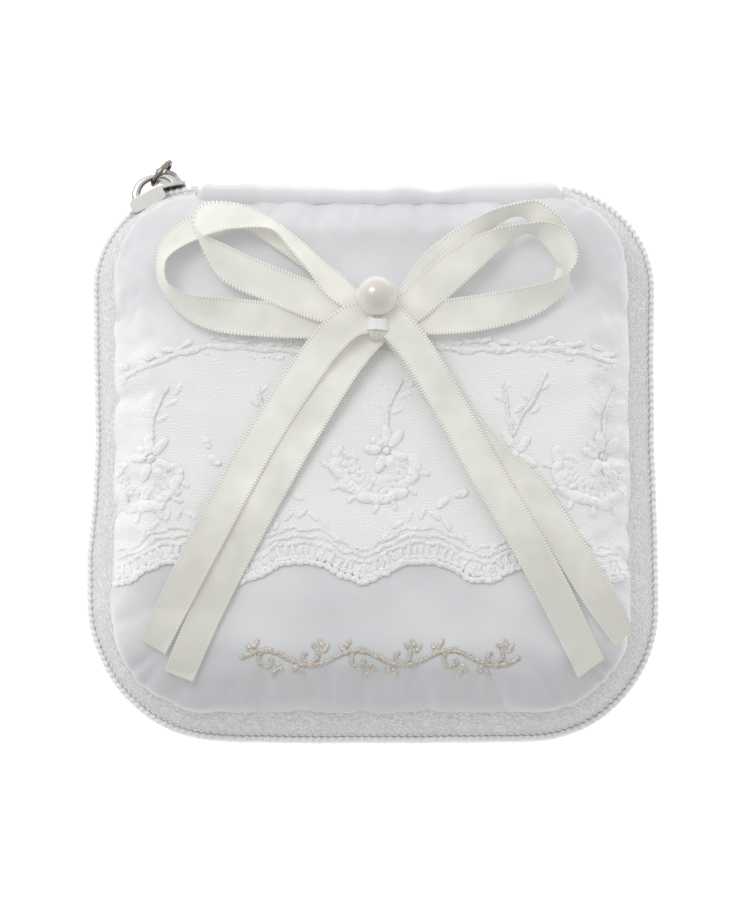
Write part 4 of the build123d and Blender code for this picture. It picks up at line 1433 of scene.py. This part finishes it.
def ring():
    """The jump ring, hanging through the crown and leaning to the right, with its cut."""
    low, high = corners("jump_ring")
    middle = (low + high) / 2
    lean = math.radians(38)
    flat = np.array([math.sin(lean), math.cos(lean), 0.0])
    upright = np.array([0.0, 0.0, 1.0])
    out = np.array([flat[1], -flat[0], 0.0])
    centre = middle + np.array([-0.7, -0.8, 0.3])
    points = []
    turns, sides = 72, 14
    for k in range(turns + 1):
        a = 2 * math.pi * (0.012 + 0.976 * k / turns) + 0.8
        spoke = math.cos(a) * flat * 1.12 + math.sin(a) * upright
        for j in range(sides):
            b = 2 * math.pi * j / sides
            points.append(centre + 2.55 * spoke + 0.55 * (math.cos(b) * spoke
                                                          + math.sin(b) * out))
    faces = grid_faces(turns + 1, sides, close_columns=True) + end_caps(turns + 1, sides)
    thing = piece("jump_ring_wire", points, faces, "ring", DARK_METAL)
    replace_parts(thing, "jump_ring")


def dress(node, material, bevel):
    """Give a CAD node its finish, and round its edges."""
    thing = bpy.data.objects[node]
    for slot in thing.material_slots:
        slot.material = material
    if not thing.material_slots:
        thing.data.materials.append(material)
    soften(thing, bevel)


slider()
crown()
ring()
dress("pull_tab", TAB_METAL, 0.2)
dress("zip_end_stops", TAPE_THREAD, 0.5)


# --- Floor, light and camera --------------------------------------------------------------------
def studio():
    """A pale floor with a light of its own, a sky that is brightest behind the case, one soft
    lamp high up behind its left side, and the camera over its front."""
    half, level = 3.0, -0.0002
    floor_mesh = bpy.data.meshes.new("floor")
    floor_mesh.from_pydata([(x * half, y * half, level) for x, y in ((-1, -1), (1, -1), (1, 1),
                                                                     (-1, 1))],
                           [], [(0, 1, 2, 3)])
    floor = bpy.data.objects.new("floor", floor_mesh)
    bpy.context.scene.collection.objects.link(floor)
    table = Nodes("floor_white", (0.97, 0.97, 0.97), 0.9)
    table.shine((1, 1, 1), 0.48)
    floor_mesh.materials.append(table.material)

    light = bpy.data.lights.new("key", "AREA")
    light.size = 0.26
    light.energy = 0.85
    lamp = bpy.data.objects.new("key", light)
    lamp.location = (-0.26, 0.26, 0.50)
    lamp.rotation_euler = (-Vector(lamp.location)).to_track_quat("-Z", "Y").to_euler()
    bpy.context.scene.collection.objects.link(lamp)

    world = bpy.data.worlds.new("studio")
    world.use_nodes = True
    tree = world.node_tree
    background = tree.nodes["Background"]
    background.inputs[0].default_value = (1, 1, 1, 1)
    where = tree.nodes.new("ShaderNodeTexCoord")
    split = tree.nodes.new("ShaderNodeSeparateXYZ")
    span = tree.nodes.new("ShaderNodeMapRange")
    span.inputs["From Min"].default_value = -1
    span.inputs["To Min"].default_value = 0.47
    span.inputs["To Max"].default_value = 1.02
    tree.links.new(where.outputs["Generated"], split.inputs[0])
    tree.links.new(split.outputs[1], span.inputs["Value"])
    tree.links.new(span.outputs[0], background.inputs[1])
    bpy.context.scene.world = world
    bpy.context.scene.view_settings.view_transform = "Standard"

    elevation = math.radians(82)
    distance = 0.62
    view_height = 187.5 * MM        # what the picture takes in at the target, from top to bottom
    target = Vector((0.73, 1.3, 18)) * MM
    camera_data = bpy.data.cameras.new("camera")
    camera_data.sensor_fit = "VERTICAL"
    camera_data.sensor_height = 24
    camera_data.lens = camera_data.sensor_height * distance / view_height
    camera = bpy.data.objects.new("camera", camera_data)
    away = Vector((0, -math.cos(elevation), math.sin(elevation)))
    camera.location = target + away * distance
    camera.rotation_euler = (-away).to_track_quat("-Z", "Y").to_euler()
    bpy.context.scene.collection.objects.link(camera)
    bpy.context.scene.camera = camera


studio()
